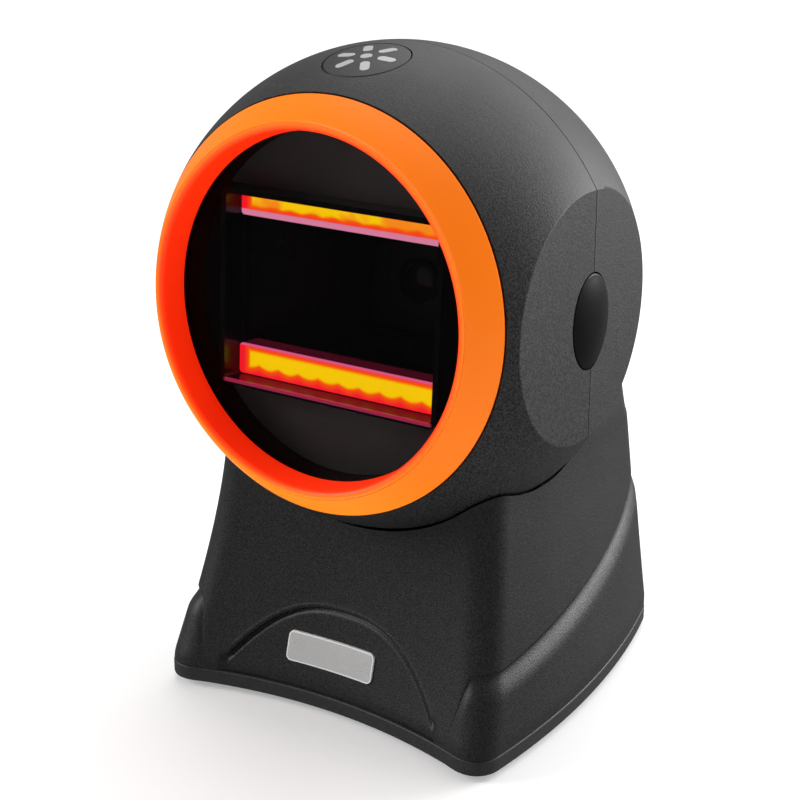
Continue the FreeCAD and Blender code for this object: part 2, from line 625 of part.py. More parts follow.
def tilt_yoke():
    outer = yoke_outline(YOKE_OUTER_X, YOKE_KNEE, 25.0, YOKE_CROSSBAR)
    inner = yoke_outline(YOKE_INNER_X, YOKE_KNEE - 1.2, 24.0, YOKE_CROSSBAR - YOKE_THICKNESS)
    outline = outer + inner[::-1]
    wire = Part.makePolygon([vec(x, -YOKE_WIDTH / 2, z) for x, z in outline + outline[:1]])
    strap = Part.Face(wire).extrude(vec(0, YOKE_WIDTH, 0))
    ears = rod(7.0, (YOKE_INNER_X, 0, 0), (YOKE_OUTER_X, 0, 0))
    neck = block((-NECK_HALF_WIDTH, NECK_HALF_WIDTH), (-NECK_HALF_DEPTH, NECK_HALF_DEPTH),
                 (-YOKE_CROSSBAR + YOKE_THICKNESS, -FOOT_RADIUS - FOOT_THICKNESS))
    lead_way = block((-LEAD_WAY / 2, LEAD_WAY / 2), (-2, 2),
                     (-YOKE_CROSSBAR + YOKE_THICKNESS + 1, -FOOT_RADIUS - FOOT_THICKNESS - 1))
    foot = block((-FOOT_HALF_WIDTH, FOOT_HALF_WIDTH), (-FOOT_HALF_DEPTH, FOOT_HALF_DEPTH),
                 (-FOOT_RADIUS, -FOOT_RADIUS - FOOT_THICKNESS))
    pin_hole = rod(PIVOT_RADIUS + FIT, (-FAR, 0, 0), (FAR, 0, 0))
    holes = [rod(SCREW_RADIUS + FIT, (x, y, -FAR), (x, y, 0)) for x, y in foot_screw_places()]
    holes = [hole.common(block((-FAR, FAR), (-FAR, FAR), (-FAR, -FOOT_RADIUS + 1))) for hole in holes]
    yoke = fuse([strap, neck, foot] + both_sides(ears)).cut([lead_way, pin_hole] + holes)
    write("tilt_yoke", leaning(yoke))
    write("yoke_screws", [
        leaning(screw((x, y, -FOOT_RADIUS - FOOT_THICKNESS - SCREW_HEAD_HEIGHT - FIT), (0, 0, 1), 6.0,
                      SCREW_RADIUS, SCREW_HEAD_RADIUS, SCREW_HEAD_HEIGHT))
        for x, y in foot_screw_places()])


# ---------------------------------------------------------------- stand
def eased(share, power):
    return math.copysign(abs(share) ** power, share)


def stand_outline(z, offset):
    """Plan outline at one height: four shallow arcs, whose corners are rounded later."""
    share = (SHOULDER - z) / (SHOULDER - STAND_FOOT)
    blend = min(max(share, 0.0), 1.0)
    spread = FOOT_PLAN_HALF_WIDTH - SHOULDER_HALF_WIDTH
    half_width = SHOULDER_HALF_WIDTH + offset + spread * eased(share, WIDTH_EASE)
    front = -SHOULDER_FRONT - offset - (FOOT_FRONT - SHOULDER_FRONT) * eased(share, FRONT_EASE)
    rear = SHOULDER_REAR + offset + (FOOT_REAR - SHOULDER_REAR) * eased(share, REAR_EASE)
    bow = SIDE_BOW[0] + (SIDE_BOW[1] - SIDE_BOW[0]) * blend
    hollow = FRONT_HOLLOW[0] + (FRONT_HOLLOW[1] - FRONT_HOLLOW[0]) * blend
    front_x = rear_x = half_width
    for _ in range(30):
        front_y = front - hollow * front_x ** 2
        front_x = half_width - bow * (front_y - WIDEST_Y) ** 2
        rear_y = rear - REAR_BOW * rear_x ** 2
        rear_x = half_width - bow * (rear_y - WIDEST_Y) ** 2
    middle_y = (front_y + rear_y) / 2
    side_x = half_width - bow * (middle_y - WIDEST_Y) ** 2
    right = [vec(front_x, front_y, z), vec(side_x, middle_y, z), vec(rear_x, rear_y, z)]
    left = [vec(-p.x, p.y, z) for p in right]
    arcs = [Part.Arc(left[0], vec(0, front, z), right[0]), Part.Arc(*right),
            Part.Arc(right[2], vec(0, rear, z), left[2]), Part.Arc(left[2], left[1], left[0])]
    return Part.Wire([arc.toShape() for arc in arcs])


def stand_block(offset, low=STAND_FOOT, high=STAND_TOP):
    levels = 6
    span = high - low
    sections = [stand_outline(low + span * i / (levels - 1), offset) for i in range(levels)]
    solid = Part.makeLoft(sections, True, False)
    return solid


def round_corners(solid, radius):
    """Round the four edges that run the whole height of a stand block."""
    height = solid.BoundBox.ZLength
    corners = [edge for edge in solid.Edges if edge.BoundBox.ZLength > 0.9 * height]
    return solid.makeFillet(radius, corners)


def rounded_stand_block(offset):
    return round_corners(stand_block(offset), STAND_CORNER + offset)


def spline_face(points, closing, plane):
    """Face bounded by a smooth curve and straight closing lines, in plane YZ or XZ."""
    place = (lambda a, b: vec(-FAR, a, b)) if plane == "YZ" else (lambda a, b: vec(a, -FAR, b))
    curve = Part.BSplineCurve()
    curve.interpolate([place(*p) for p in points])
    line = Part.makePolygon([place(*p) for p in [points[-1]] + closing + [points[0]]])
    return Part.Face(Part.Wire([curve.toShape()] + line.Edges))


def swoosh_region():
    """Raised rear quarter, seen from the side: from low at the front corners to the top rear."""
    rises = [(-40.0, 15.2), (-30.6, 15.5), (-4.0, 17.4), (18.0, 21.6), (37.4, 26.4), (53.3, 33.1),
             (61.0, 42.4), (64.0, 53.4)]
    curve = [(y, STAND_FOOT + rise) for y, rise in rises]
    face = spline_face(curve, [(90.0, curve[-1][1]), (90.0, -FAR), (-40.0, -FAR)], "YZ")
    front_face = block((-SWOOSH_FRONT_X, SWOOSH_FRONT_X), (-FAR, 0), (-FAR, FAR))
    return face.extrude(vec(2 * FAR, 0, 0)).cut(front_face)


def arch_region():
    """Front view of the sunk arch over the name plate."""
    shares = [-1.02, -0.95, -0.8, -0.6, -0.35, 0.0, 0.35, 0.6, 0.8, 0.95, 1.02]
    curve = [(ARCH_HALF_WIDTH * share, STAND_FOOT + ARCH_HEIGHT * (1 - abs(share) ** ARCH_POWER))
             for share in shares]
    return spline_face(curve, [], "XZ").extrude(vec(0, FAR - 5.0, 0))


def stand_shell():
    saddle = sphere(HEAD_RADIUS + SADDLE_GAP)
    saddle_back = sphere(HEAD_RADIUS + SADDLE_GAP + STAND_WALL)
    skin = rounded_stand_block(0)
    raised = rounded_stand_block(SWOOSH_STEP).common(swoosh_region())
    sunk = arch_region().common(skin).cut(rounded_stand_block(-ARCH_STEP))
    inner = rounded_stand_block(-STAND_WALL)
    body = skin.fuse(raised).cut(sunk)
    roof = block((-FAR, FAR), (-FAR, FAR), (STAND_TOP - STAND_WALL, FAR))
    hollow = inner.cut([saddle_back, roof])
    body = body.cut([saddle, hollow])
    posts = []
    pilots = []
    for x, y in CORNER_POSTS:
        posts.append(rod(POST_RADIUS, (x, y, STAND_FOOT), (x, y, STAND_FOOT + POST_HEIGHT)))
        pilots.append(rod(SCREW_RADIUS + FIT, (x, y, STAND_FOOT - 1), (x, y, STAND_FOOT + POST_HEIGHT - 2)))
    for x, y in foot_screw_places():
        boss = rod(3.2, (x, y, -FOOT_RADIUS + FIT), (x, y, -40)).cut(sphere(HEAD_RADIUS + SADDLE_GAP + 1))
        boss = boss.common(block((-FAR, FAR), (-FAR, FAR), (-FAR, -40)))
        posts.append(leaning(boss))
        pilots.append(leaning(rod(SCREW_RADIUS + FIT, (x, y, -FOOT_RADIUS - 1), (x, y, -FOOT_RADIUS + 5))))
    neck_hole = leaning(block((-NECK_HALF_WIDTH - GAP, NECK_HALF_WIDTH + GAP),
                              (-NECK_HALF_DEPTH - GAP, NECK_HALF_DEPTH + GAP), (-FAR, -40)))
    neck_hole = neck_hole.common(sphere(HEAD_RADIUS + SADDLE_GAP + STAND_WALL + 4))
    mouth = block((-SOCKET[0] / 2 - GAP, SOCKET[0] / 2 + GAP), (IO_BOARD_Y, FAR),
                  (socket_low() - GAP, socket_low() + SOCKET[2] + GAP))
    body = fuse([body] + posts).cut(pilots + [neck_hole, mouth])
    write("stand_shell", body)

    plate = block((PLATE_X - PLATE_WIDTH / 2, PLATE_X + PLATE_WIDTH / 2), (-FAR, 0),
                  (PLATE_Z - PLATE_HEIGHT / 2, PLATE_Z + PLATE_HEIGHT / 2))
    long_edges = [edge for edge in plate.Edges if abs(edge.Length - FAR) < 1e-6]
    plate = plate.makeFillet(PLATE_CORNER, long_edges)
    face = rounded_stand_block(-ARCH_STEP + PLATE_THICKNESS)
    write("name_plate", plate.common(face).cut(rounded_stand_block(-ARCH_STEP + 0.01)))


def socket_low():
    return STAND_FOOT + IO_BOARD_RISE + BOARD


def base():
    top = STAND_FOOT - FIT
    bottom = STAND_FOOT - BASE_THICKNESS
    outline = stand_block(-BASE_INSET, STAND_FOOT, STAND_FOOT + 10)
    outline = round_corners(outline, STAND_CORNER - BASE_INSET)
    foot_face = min(outline.Faces, key=lambda face: face.CenterOfMass.z)
    plate = foot_face.extrude(vec(0, 0, bottom - STAND_FOOT))
    plate = plate.common(block((-FAR, FAR), (-FAR, FAR), (bottom - 1, top)))
    lower = [edge for edge in plate.Edges if edge.BoundBox.ZMax < bottom + 0.01]
    plate = plate.makeFillet(1.0, lower)
    cuts = []
    for x, y in CORNER_POSTS:
        cuts.append(rod(RUBBER_RADIUS + FIT, (x, y, bottom - 1), (x, y, bottom + RUBBER_RECESS)))
        head_top = bottom + RUBBER_RECESS + SCREW_HEAD_HEIGHT + 2 * FIT
        cuts.append(rod(SCREW_HEAD_RADIUS + GAP, (x, y, bottom), (x, y, head_top)))
        cuts.append(rod(SCREW_RADIUS + 2 * FIT, (x, y, bottom), (x, y, top + 1)))
    posts = []
    for x, y in io_posts():
        posts.append(rod(PILLAR, (x, y, top - 0.5), (x, y, STAND_FOOT + IO_BOARD_RISE - FIT)))
        cuts.append(rod(SMALL_SCREW_RADIUS + FIT, (x, y, STAND_FOOT + 2), (x, y, FAR)))
    for x in ballast_screw_x():
        posts.append(rod(PILLAR, (x, BALLAST_Y, top - 0.5), (x, BALLAST_Y, STAND_FOOT + 4)))
        cuts.append(rod(SCREW_RADIUS + FIT, (x, BALLAST_Y, bottom + 1), (x, BALLAST_Y, FAR)))
    write("base_plate", fuse([plate] + posts).cut(cuts))

    rubber = []
    screws = []
    for x, y in CORNER_POSTS:
        pad = rod(RUBBER_RADIUS, (x, y, bottom - RUBBER_HEIGHT), (x, y, bottom + RUBBER_RECESS - FIT))
        rim = [edge for edge in pad.Edges if edge.BoundBox.ZMax < bottom - RUBBER_HEIGHT + 0.01]
        rubber.append(pad.makeFillet(0.5, rim))
        screws.append(screw((x, y, bottom + RUBBER_RECESS + FIT), (0, 0, 1), 12.0, SCREW_RADIUS,
                            SCREW_HEAD_RADIUS, SCREW_HEAD_HEIGHT))
    write("rubber_feet", rubber)
    write("base_screws", screws)


def io_posts():
    return [(x, IO_BOARD_Y + y) for x in (-IO_BOARD[0] / 2 + 4, IO_BOARD[0] / 2 - 4)
            for y in (-IO_BOARD[1] / 2 + 4, IO_BOARD[1] / 2 - 8)]


def ballast_screw_x():
    return (-BALLAST[0] / 2 + 8, BALLAST[0] / 2 - 8)


def inside_stand():
    low = STAND_FOOT + FIT
    weight = block((-BALLAST[0] / 2, BALLAST[0] / 2),
                   (BALLAST_Y - BALLAST[1] / 2, BALLAST_Y + BALLAST[1] / 2), (low, low + BALLAST[2]))
    uprights = [edge for edge in weight.Edges if abs(edge.Length - BALLAST[2]) < 1e-6]
    weight = weight.makeFillet(BALLAST_CORNER, uprights)
    cuts = []
    screws = []
    for x in ballast_screw_x():
        cuts.append(rod(PILLAR + GAP, (x, BALLAST_Y, low - 1), (x, BALLAST_Y, STAND_FOOT + 4 + GAP)))
        cuts.append(rod(SCREW_RADIUS + 2 * FIT, (x, BALLAST_Y, low), (x, BALLAST_Y, FAR)))
        screws.append(screw((x, BALLAST_Y, low + BALLAST[2] + SCREW_HEAD_HEIGHT + FIT), (0, 0, -1), 9.0,
                            SCREW_RADIUS, SCREW_HEAD_RADIUS, SCREW_HEAD_HEIGHT))
    write("ballast_weight", weight.cut(cuts))
    write("ballast_screws", screws)

    board_low = STAND_FOOT + IO_BOARD_RISE
    board = block((-IO_BOARD[0] / 2, IO_BOARD[0] / 2),
                  (IO_BOARD_Y - IO_BOARD[1] / 2, IO_BOARD_Y + IO_BOARD[1] / 2),
                  (board_low, board_low + BOARD))
    holes = [rod(SMALL_SCREW_RADIUS + FIT, (x, y, -FAR), (x, y, 0)) for x, y in io_posts()]
    write("interface_board", board.cut(holes))
    head_top = board_low + BOARD + SMALL_HEAD_HEIGHT + FIT
    write("interface_screws", [
        screw((x, y, head_top), (0, 0, -1), 6.0, SMALL_SCREW_RADIUS, SMALL_HEAD_RADIUS, SMALL_HEAD_HEIGHT)
        for x, y in io_posts()])
    rear = FOOT_REAR - SOCKET_SETBACK
    low = socket_low() + FIT
    body = block((-SOCKET[0] / 2, SOCKET[0] / 2), (rear - SOCKET[1], rear), (low, low + SOCKET[2] - FIT))
    sill = low + SOCKET_SILL
    mouth = block((-SOCKET_MOUTH[0] / 2, SOCKET_MOUTH[0] / 2), (rear - SOCKET_MOUTH[1], rear + 1),
                  (sill, sill + SOCKET_MOUTH[2]))
    latch = block((-LATCH_WIDTH / 2, LATCH_WIDTH / 2), (rear - SOCKET_MOUTH[1], rear + 1),
                  (sill, sill + SOCKET_MOUTH[2] + LATCH_RISE))
    write("cable_socket", body.cut([mouth, latch]))


os.makedirs("parts", exist_ok=True)
head_shells()
bezel_ring()
window()
optics_chassis()
light_bars()
electronics()
badge()
pivot()
tilt_yoke()
stand_shell()
base()
inside_stand()
print("pivot at", [round(value, 3) for value in PLACE])
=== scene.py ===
import json
import math

import bmesh
import bpy
from bpy.props import FloatProperty, FloatVectorProperty, IntProperty, PointerProperty
from mathutils import Matrix, Vector


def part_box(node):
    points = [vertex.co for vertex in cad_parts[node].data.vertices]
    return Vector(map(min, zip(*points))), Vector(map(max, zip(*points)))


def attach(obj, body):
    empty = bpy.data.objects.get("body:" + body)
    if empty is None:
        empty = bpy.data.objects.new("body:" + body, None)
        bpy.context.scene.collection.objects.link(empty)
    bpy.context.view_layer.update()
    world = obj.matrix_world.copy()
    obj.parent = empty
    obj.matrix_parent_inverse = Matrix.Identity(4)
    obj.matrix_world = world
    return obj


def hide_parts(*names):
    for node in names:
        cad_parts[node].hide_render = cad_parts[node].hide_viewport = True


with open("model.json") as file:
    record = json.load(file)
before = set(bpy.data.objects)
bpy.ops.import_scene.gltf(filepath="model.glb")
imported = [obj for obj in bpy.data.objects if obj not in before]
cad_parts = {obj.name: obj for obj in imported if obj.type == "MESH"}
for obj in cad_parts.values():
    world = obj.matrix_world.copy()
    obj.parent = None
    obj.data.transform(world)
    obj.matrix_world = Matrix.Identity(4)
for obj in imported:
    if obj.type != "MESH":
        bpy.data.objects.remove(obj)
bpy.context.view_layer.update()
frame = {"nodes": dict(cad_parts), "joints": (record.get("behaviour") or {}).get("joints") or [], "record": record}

bl_info = {
    "name": "Ball-headed desktop scanner",
    "version": (1, 0, 0),
    "blender": (4, 5, 0),
    "location": "3D View > Sidebar > Scanner",
    "description": "Builds the shells, window, lights and stand of a desktop presentation scanner",
    "category": "Add Mesh",
}

MM = 0.001
PIVOT = Vector(frame["joints"][0]["pos_m"])
HEAD = "head"
STAND = "stand"
FULL_TURN = 2 * math.pi
WEIGHTED = ("WEIGHTED_NORMAL", {"weight": 60})


# ---------------------------------------------------------------- sizes and colours
def length(name, description, millimetres):
    return FloatProperty(name=name, description=description, default=millimetres * MM,
                         unit="LENGTH", precision=5)


def degrees(name, description, value):
    return FloatProperty(name=name, description=description, default=math.radians(value),
                         subtype="ANGLE")


def colour(name, description, red, green, blue):
    return FloatVectorProperty(name=name, description=description, default=(red, green, blue, 1.0),
                               size=4, min=0.0, max=1.0, subtype="COLOR")


class HeadSizes(bpy.types.PropertyGroup):
    radius: length("Ball radius", "Outside of the ball head", 52.0)
    wall: length("Shell wall", "Thickness of the head shells", 2.5)
    flat_x: length("Flat side", "Distance of the flat sides from the middle", 45.0)
    flat_draft: FloatProperty(name="Flat draft", default=0.06,
                              description="How fast the flats close in behind the seam")
    seam_y: length("Seam", "Where the two shells meet, behind the pivot", 2.9)
    seam_gap: length("Seam gap", "Dark line between the shells", 0.25)
    edge: length("Edge rounding", "Rounding of the shells' edges", 0.45)
    window_tilt: degrees("Window tilt", "How far up the window looks", 3.8)
    ring_radius: length("Ring radius", "Outside of the ring's seat", 43.4)
    ring_groove: length("Ring groove", "Dark line around the ring", 0.35)
    ring_bore: length("Ring bore", "Inside of the ring at its back", 35.9)
    ring_mouth: length("Ring mouth", "Inside of the ring at its crest", 36.5)
    ring_crest: length("Ring crest", "Rounding between the ring's face and bore", 1.3)
    badge_tilt: degrees("Badge tilt", "How far in front of the top the badge sits", 13.5)
    badge_radius: length("Badge radius", "Disc on the crown", 9.0)
    badge_gap: length("Badge gap", "Dark line around the badge", 0.3)
    badge_depth: length("Badge thickness", "Thickness of the disc", 2.4)
    petal_length: length("Petal length", "Length of one light insert", 4.0)
    petal_width: length("Petal width", "Width of one light insert", 2.0)
    petal_centre: length("Petal centre", "Distance of each petal from the dot", 4.9)
    dot_radius: length("Dot radius", "Round insert in the middle", 1.25)
    petals: IntProperty(name="Petals", description="Number of petals", default=6, min=3)
    cap_half_width: length("Cap half width", "Oval side cap, front to back", 7.5)
    cap_half_height: length("Cap half height", "Oval side cap, up and down", 10.0)
    cap_y: length("Cap centre, back", "Cap centre behind the pivot", 2.5)
    cap_z: length("Cap centre, up", "Cap centre above the pivot", -1.0)
    cap_gap: length("Cap gap", "Dark line around the cap", 0.3)
    cap_dome: length("Cap dome", "Height of the cap over the flat", 1.0)
    screw_hole: length("Screw holes", "Radius of the four holes in the rear shell", 3.1)
    neck_half_width: length("Neck slot", "Half width of the slot that the neck swings in", 13.0)
    neck_front: degrees("Neck slot front", "Front end of the slot, from straight down", 4.6)
    neck_rear: degrees("Neck slot rear", "Rear end of the slot, from straight down", 45.4)


class StandSizes(bpy.types.PropertyGroup):
    saddle: length("Saddle radius", "Hollow that the ball sits in", 52.6)
    wall: length("Wall", "Thickness of the stand shell", 2.2)
    top: length("Rear top", "Top of the stand's rear, from the pivot", -24.0)
    shoulder: length("Shoulder", "Where the flare starts, from the pivot", -36.0)
    foot: length("Foot", "Lower edge of the shell, from the pivot", -87.4)
    shoulder_half_width: length("Shoulder half width", "Half width at the shoulder", 36.2)
    foot_half_width: length("Foot half width", "Half width at the foot", 43.6)
    shoulder_front: length("Shoulder front", "Front face at the shoulder", 18.1)
    foot_front: length("Foot front", "Front face at the foot", 27.2)
    shoulder_rear: length("Shoulder rear", "Rear face at the shoulder", 54.0)
    foot_rear: length("Foot rear", "Rear face at the foot", 61.5)
    corner: length("Corner radius", "Rounding of the upright corners", 7.5)
    step: length("Swoosh step", "How far the rear quarter stands proud", 0.85)
    sink: length("Arch depth", "How deep the arch is sunk", 0.8)
    groove: length("Groove depth", "Groove along the arch and the swoosh", 0.5)
    line_width: length("Line width", "Half width of the arch's and the swoosh's moulded line", 1.3)
    arch_half_width: length("Arch half width", "Half width of the sunk arch at the foot", 27.8)
    arch_height: length("Arch height", "Height of the sunk arch", 18.2)
    tuck: length("Foot tuck", "How far the shell tucks in at its lower edge", 0.35)
    base_inset: length("Base inset", "How far the base plate stands back", 0.25)
    base_bottom: length("Base bottom", "Underside of the base plate, from the pivot", -91.0)
    plate_width: length("Name plate width", "Blank plate in the arch", 22.6)
    plate_height: length("Name plate height", "Blank plate in the arch", 6.6)
    plate_corner: length("Name plate corner", "Rounding of the blank plate's corners", 1.3)
    pad_radius: length("Foot radius", "Radius of each rubber foot", 6.0)


class Finishes(bpy.types.PropertyGroup):
    shell: colour("Head plastic", "Spark-textured plastic of the head", 0.018, 0.018, 0.0185)
    stand: colour("Stand plastic", "Matte plastic of the stand", 0.009, 0.009, 0.0092)
    cap: colour("Cap plastic", "Smooth plastic of the side caps", 0.0025, 0.0025, 0.0027)
    ring: colour("Ring plastic", "Orange plastic of the ring", 0.98, 0.225, 0.008)
    insert: colour("Light inserts", "Pale petals on the crown", 0.42, 0.42, 0.42)
    plate: colour("Name plate", "Blank plate", 0.50, 0.50, 0.50)
    glow_core: colour("Glow core", "Brightest part of the lit bars", 1.0, 0.62, 0.0)
    glow_edge: colour("Glow edge", "Outer part of the lit bars", 1.0, 0.01, 0.02)


class ScannerSettings(bpy.types.PropertyGroup):
    head: PointerProperty(type=HeadSizes)
    stand: PointerProperty(type=StandSizes)
    finishes: PointerProperty(type=Finishes)


def settings():
    return bpy.context.scene.scanner


def finish(name):
    """One of the colours that can be set, as a plain tuple."""
    return tuple(getattr(settings().finishes, name))


def grey(value):
    return value, value, value, 1.0


def shade(base, factor):
    return tuple(channel * factor for channel in base[:3]) + (1.0,)


# ---------------------------------------------------------------- materials
class Value:
    """A node socket that takes part in arithmetic."""

    def __init__(self, tree, socket):
        self.tree = tree
        self.socket = socket

    def math(self, operation, *values, clamp=False):
        node = self.tree.nodes.new("ShaderNodeMath")
        node.operation = operation
        node.use_clamp = clamp
        for index, value in enumerate((self,) + values):
            if isinstance(value, Value):
                self.tree.links.new(value.socket, node.inputs[index])
            else:
                node.inputs[index].default_value = value
        return Value(self.tree, node.outputs[0])

    def __add__(self, other):
        return self.math("ADD", other)

    def __sub__(self, other):
        return self.math("SUBTRACT", other)

    def __mul__(self, other):
        return self.math("MULTIPLY", other)

    def __truediv__(self, other):
        return self.math("DIVIDE", other)

    def __rsub__(self, other):
        return self.math("MULTIPLY_ADD", -1.0, other)

    __radd__ = __add__
    __rmul__ = __mul__

    def size(self):
        return self.math("ABSOLUTE")

    def step(self, low, high):
        """Rises smoothly from 0 at low to 1 at high."""
        node = self.tree.nodes.new("ShaderNodeMapRange")
        node.interpolation_type = "SMOOTHSTEP"
        self.tree.links.new(self.socket, node.inputs["Value"])
        flip = low > high
        node.inputs["From Min"].default_value = min(low, high)
        node.inputs["From Max"].default_value = max(low, high)
        node.inputs["To Min"].default_value = 1.0 if flip else 0.0
        node.inputs["To Max"].default_value = 0.0 if flip else 1.0
        return Value(self.tree, node.outputs["Result"])


class Look:
    """One material, with the nodes that vary it."""

    def __init__(self, name, base, roughness, **constants):
        self.material = bpy.data.materials.new(name)
        self.material.use_nodes = True
        self.tree = self.material.node_tree
        self.shader = self.tree.nodes["Principled BSDF"]
        self.shader.inputs["Base Color"].default_value = base
        self.shader.inputs["Roughness"].default_value = roughness
        for socket, value in constants.items():
            self.shader.inputs[socket.replace("_", " ")].default_value = value
        self.place = self.node("ShaderNodeTexCoord").outputs["Object"]

    def node(self, kind, options=None, sockets=None):
        node = self.tree.nodes.new(kind)
        for name, value in (options or {}).items():
            setattr(node, name, value)
        for name, value in (sockets or {}).items():
            if isinstance(value, Value):
                self.tree.links.new(value.socket, node.inputs[name])
            elif isinstance(value, bpy.types.NodeSocket):
                self.tree.links.new(value, node.inputs[name])
            else:
                node.inputs[name].default_value = value
        return node

    def coordinates(self, centre=(0, 0, 0), turn=(0, 0, 0)):
        """Object coordinates about a centre, as three values."""
        moved = self.node("ShaderNodeMapping", {"vector_type": "TEXTURE"}, {
            "Vector": self.place, "Location": centre, "Rotation": turn})
        parts = self.node("ShaderNodeSeparateXYZ", None, {"Vector": moved.outputs[0]})
        return [Value(self.tree, parts.outputs[axis]) for axis in "XYZ"]

    def window_coordinates(self):
        """Across, up and out along the window's axis, from the pivot."""
        return self.coordinates(PIVOT, (math.pi / 2 - settings().head.window_tilt, 0, 0))

    def noise(self, size, detail=2.0, roughness=0.5, squeeze=None):
        """Noise from 0 to 1 whose grains are about `size` metres across."""
        vector = self.place
        if squeeze:
            squeezed = self.node("ShaderNodeMapping", None, {"Vector": vector, "Scale": squeeze})
            vector = squeezed.outputs[0]
        node = self.node("ShaderNodeTexNoise", None, {
            "Vector": vector, "Scale": 1.0 / size, "Detail": detail, "Roughness": roughness})
        return Value(self.tree, node.outputs[0])

    def mix(self, factor, first, second):
        node = self.node("ShaderNodeMix", {"data_type": "RGBA"}, {"Factor": factor})
        for index, value in ((6, first), (7, second)):
            if isinstance(value, bpy.types.NodeSocket):
                self.tree.links.new(value, node.inputs[index])
            else:
                node.inputs[index].default_value = value
        return node.outputs[2]

    def drive(self, socket, value):
        source = value.socket if isinstance(value, Value) else value
        self.tree.links.new(source, self.shader.inputs[socket])

    def relief(self, height, distance):
        bump = self.node("ShaderNodeBump", None, {"Height": height, "Distance": distance, "Strength": 1.0})
        self.tree.links.new(bump.outputs[0], self.shader.inputs["Normal"])


def spark_plastic(name, base, roughness, grain, depth, sparkle):
    """Moulded plastic with a spark-eroded grain and faint clouds of polish."""
    look = Look(name, base, roughness, Specular_IOR_Level=0.4)
    fine = look.noise(grain, 3.0, 0.62)
    pits = look.noise(grain * 0.45, 1.0, 0.5)
    cloud = look.noise(0.018, 3.0, 0.55)
    tone = look.mix((fine - 0.5) * 4.2 + 0.5, shade(base, 1.0 - sparkle),
                    shade(base, 1.0 + sparkle * 1.4))
    look.drive("Base Color", look.mix(cloud * 0.25, tone, shade(base, 0.8)))
    look.drive("Roughness", (cloud - 0.5) * 0.16 + (fine - 0.5) * 0.25 + roughness)
    look.relief(fine * 0.7 + pits * 0.3, depth)
    return look.material


def smooth_plastic(name, base, roughness, **constants):
    """Smooth moulded plastic with faint flow marks and micro scratches."""
    look = Look(name, base, roughness, **constants)
    flow = look.noise(0.012, 3.0, 0.5)
    scratch = look.noise(0.0012, 2.0, 0.5, squeeze=(1.0, 6.0, 1.0))
    look.drive("Base Color", look.mix(flow * 0.5, base, shade(base, 0.86)))
    look.drive("Roughness", (flow - 0.5) * 0.14 + (scratch - 0.5) * 0.12 + roughness)
    look.relief(flow * 0.8 + scratch * 0.2, 0.04 * MM)
    return look.material


def plate_plastic(centre, straight_x, straight_z, corner):
    """Satin grey plate with a painted highlight: a thin brighter rim around its rounded outline."""
    highlight_inner, highlight_outer = corner - 0.42 * MM, corner - 0.28 * MM
    base = finish("plate")
    look = Look("plate grey", base, 0.42, Coat_Weight=0.2, Coat_Roughness=0.3)
    x, y, z = look.coordinates(centre)
    across = (x.size() - straight_x).math("MAXIMUM", 0.0)
    along = (z.size() - straight_z).math("MAXIMUM", 0.0)
    # painted highlight: the outer band of the plate's rounded outline is painted a lighter grey
    rim = (across * across + along * along).math("SQRT").step(highlight_inner, highlight_outer)
    brush = look.noise(0.6 * MM, 2.0, 0.6, squeeze=(1.0, 1.0, 8.0))
    cloud = look.noise(6 * MM, 2.0, 0.5)
    tone = look.mix((brush - 0.5) * 1.5 + cloud * 0.5, shade(base, 0.86), shade(base, 1.08))
    look.drive("Base Color", look.mix(rim, tone, grey(0.75)))
    look.drive("Roughness", (brush - 0.5) * 0.2 + 0.42)
    look.relief(brush, 0.01 * MM)
    return look.material


def ring_plastic(name, base):
    """Satin orange plastic with painted light: the red LED light on its bore is painted in as a red colour and a
    glow, a painted warm glow runs along its lower edge, and its face glows faintly, though the ring is no lamp.
    """
    # painted light: the red of the LEDs' light on the bore, and glows that stand in for light falling on the ring
    painted_led_red = (0.95, 0.05, 0.005, 1.0)
    painted_bore_glow, painted_low_glow = (0.50, 0.006, 0.001, 1.0), (0.36, 0.13, 0.008, 1.0)
    painted_face_glow = (0.22, 0.02, 0.0, 1.0)
    mouth = settings().head.ring_mouth
    look = Look(name, base, 0.4, Specular_IOR_Level=0.16, Subsurface_Weight=0.08, Subsurface_Scale=1.0,
                Subsurface_Radius=(0.004, 0.0012, 0.0004), Emission_Strength=1.0)
    fine = look.noise(0.5 * MM, 2.0, 0.5)
    cloud = look.noise(20 * MM, 2.0, 0.5)
    look.drive("Roughness", (fine - 0.5) * 0.12 + (cloud - 0.5) * 0.08 + 0.36)
    look.relief(fine, 0.02 * MM)
    x, up, out = look.window_coordinates()
    inside = (x * x + up * up).math("SQRT").step(mouth + 2.0 * MM, mouth - 0.2 * MM)
    face = look.mix(cloud * 0.3, base, shade(base, 0.92))
    # painted light: the bore's colour turns red where the LEDs' light falls on it
    look.drive("Base Color", look.mix(inside, face, painted_led_red))
    low = (up * -1.0 - x * 0.5).step(10 * MM, 42 * MM)
    # painted glow: the ring is no lamp, yet glows red in the bore and warm along its lower edge
    look.drive("Emission Color", look.mix(inside, look.mix(low, painted_face_glow, painted_low_glow), painted_bore_glow))
    return look.material


def metal(name, base, roughness, grain=0.0006):
    """Plated metal with a directional brush."""
    look = Look(name, base, roughness, Metallic=1.0)
    brush = look.noise(grain, 2.0, 0.6, squeeze=(1.0, 12.0, 1.0))
    stain = look.noise(0.006, 3.0, 0.6)
    look.drive("Base Color", look.mix(stain * 0.6, base, shade(base, 0.7)))
    look.drive("Roughness", (brush - 0.5) * 0.2 + (stain - 0.5) * 0.15 + roughness)
    look.relief(brush, 0.00001)
    return look.material


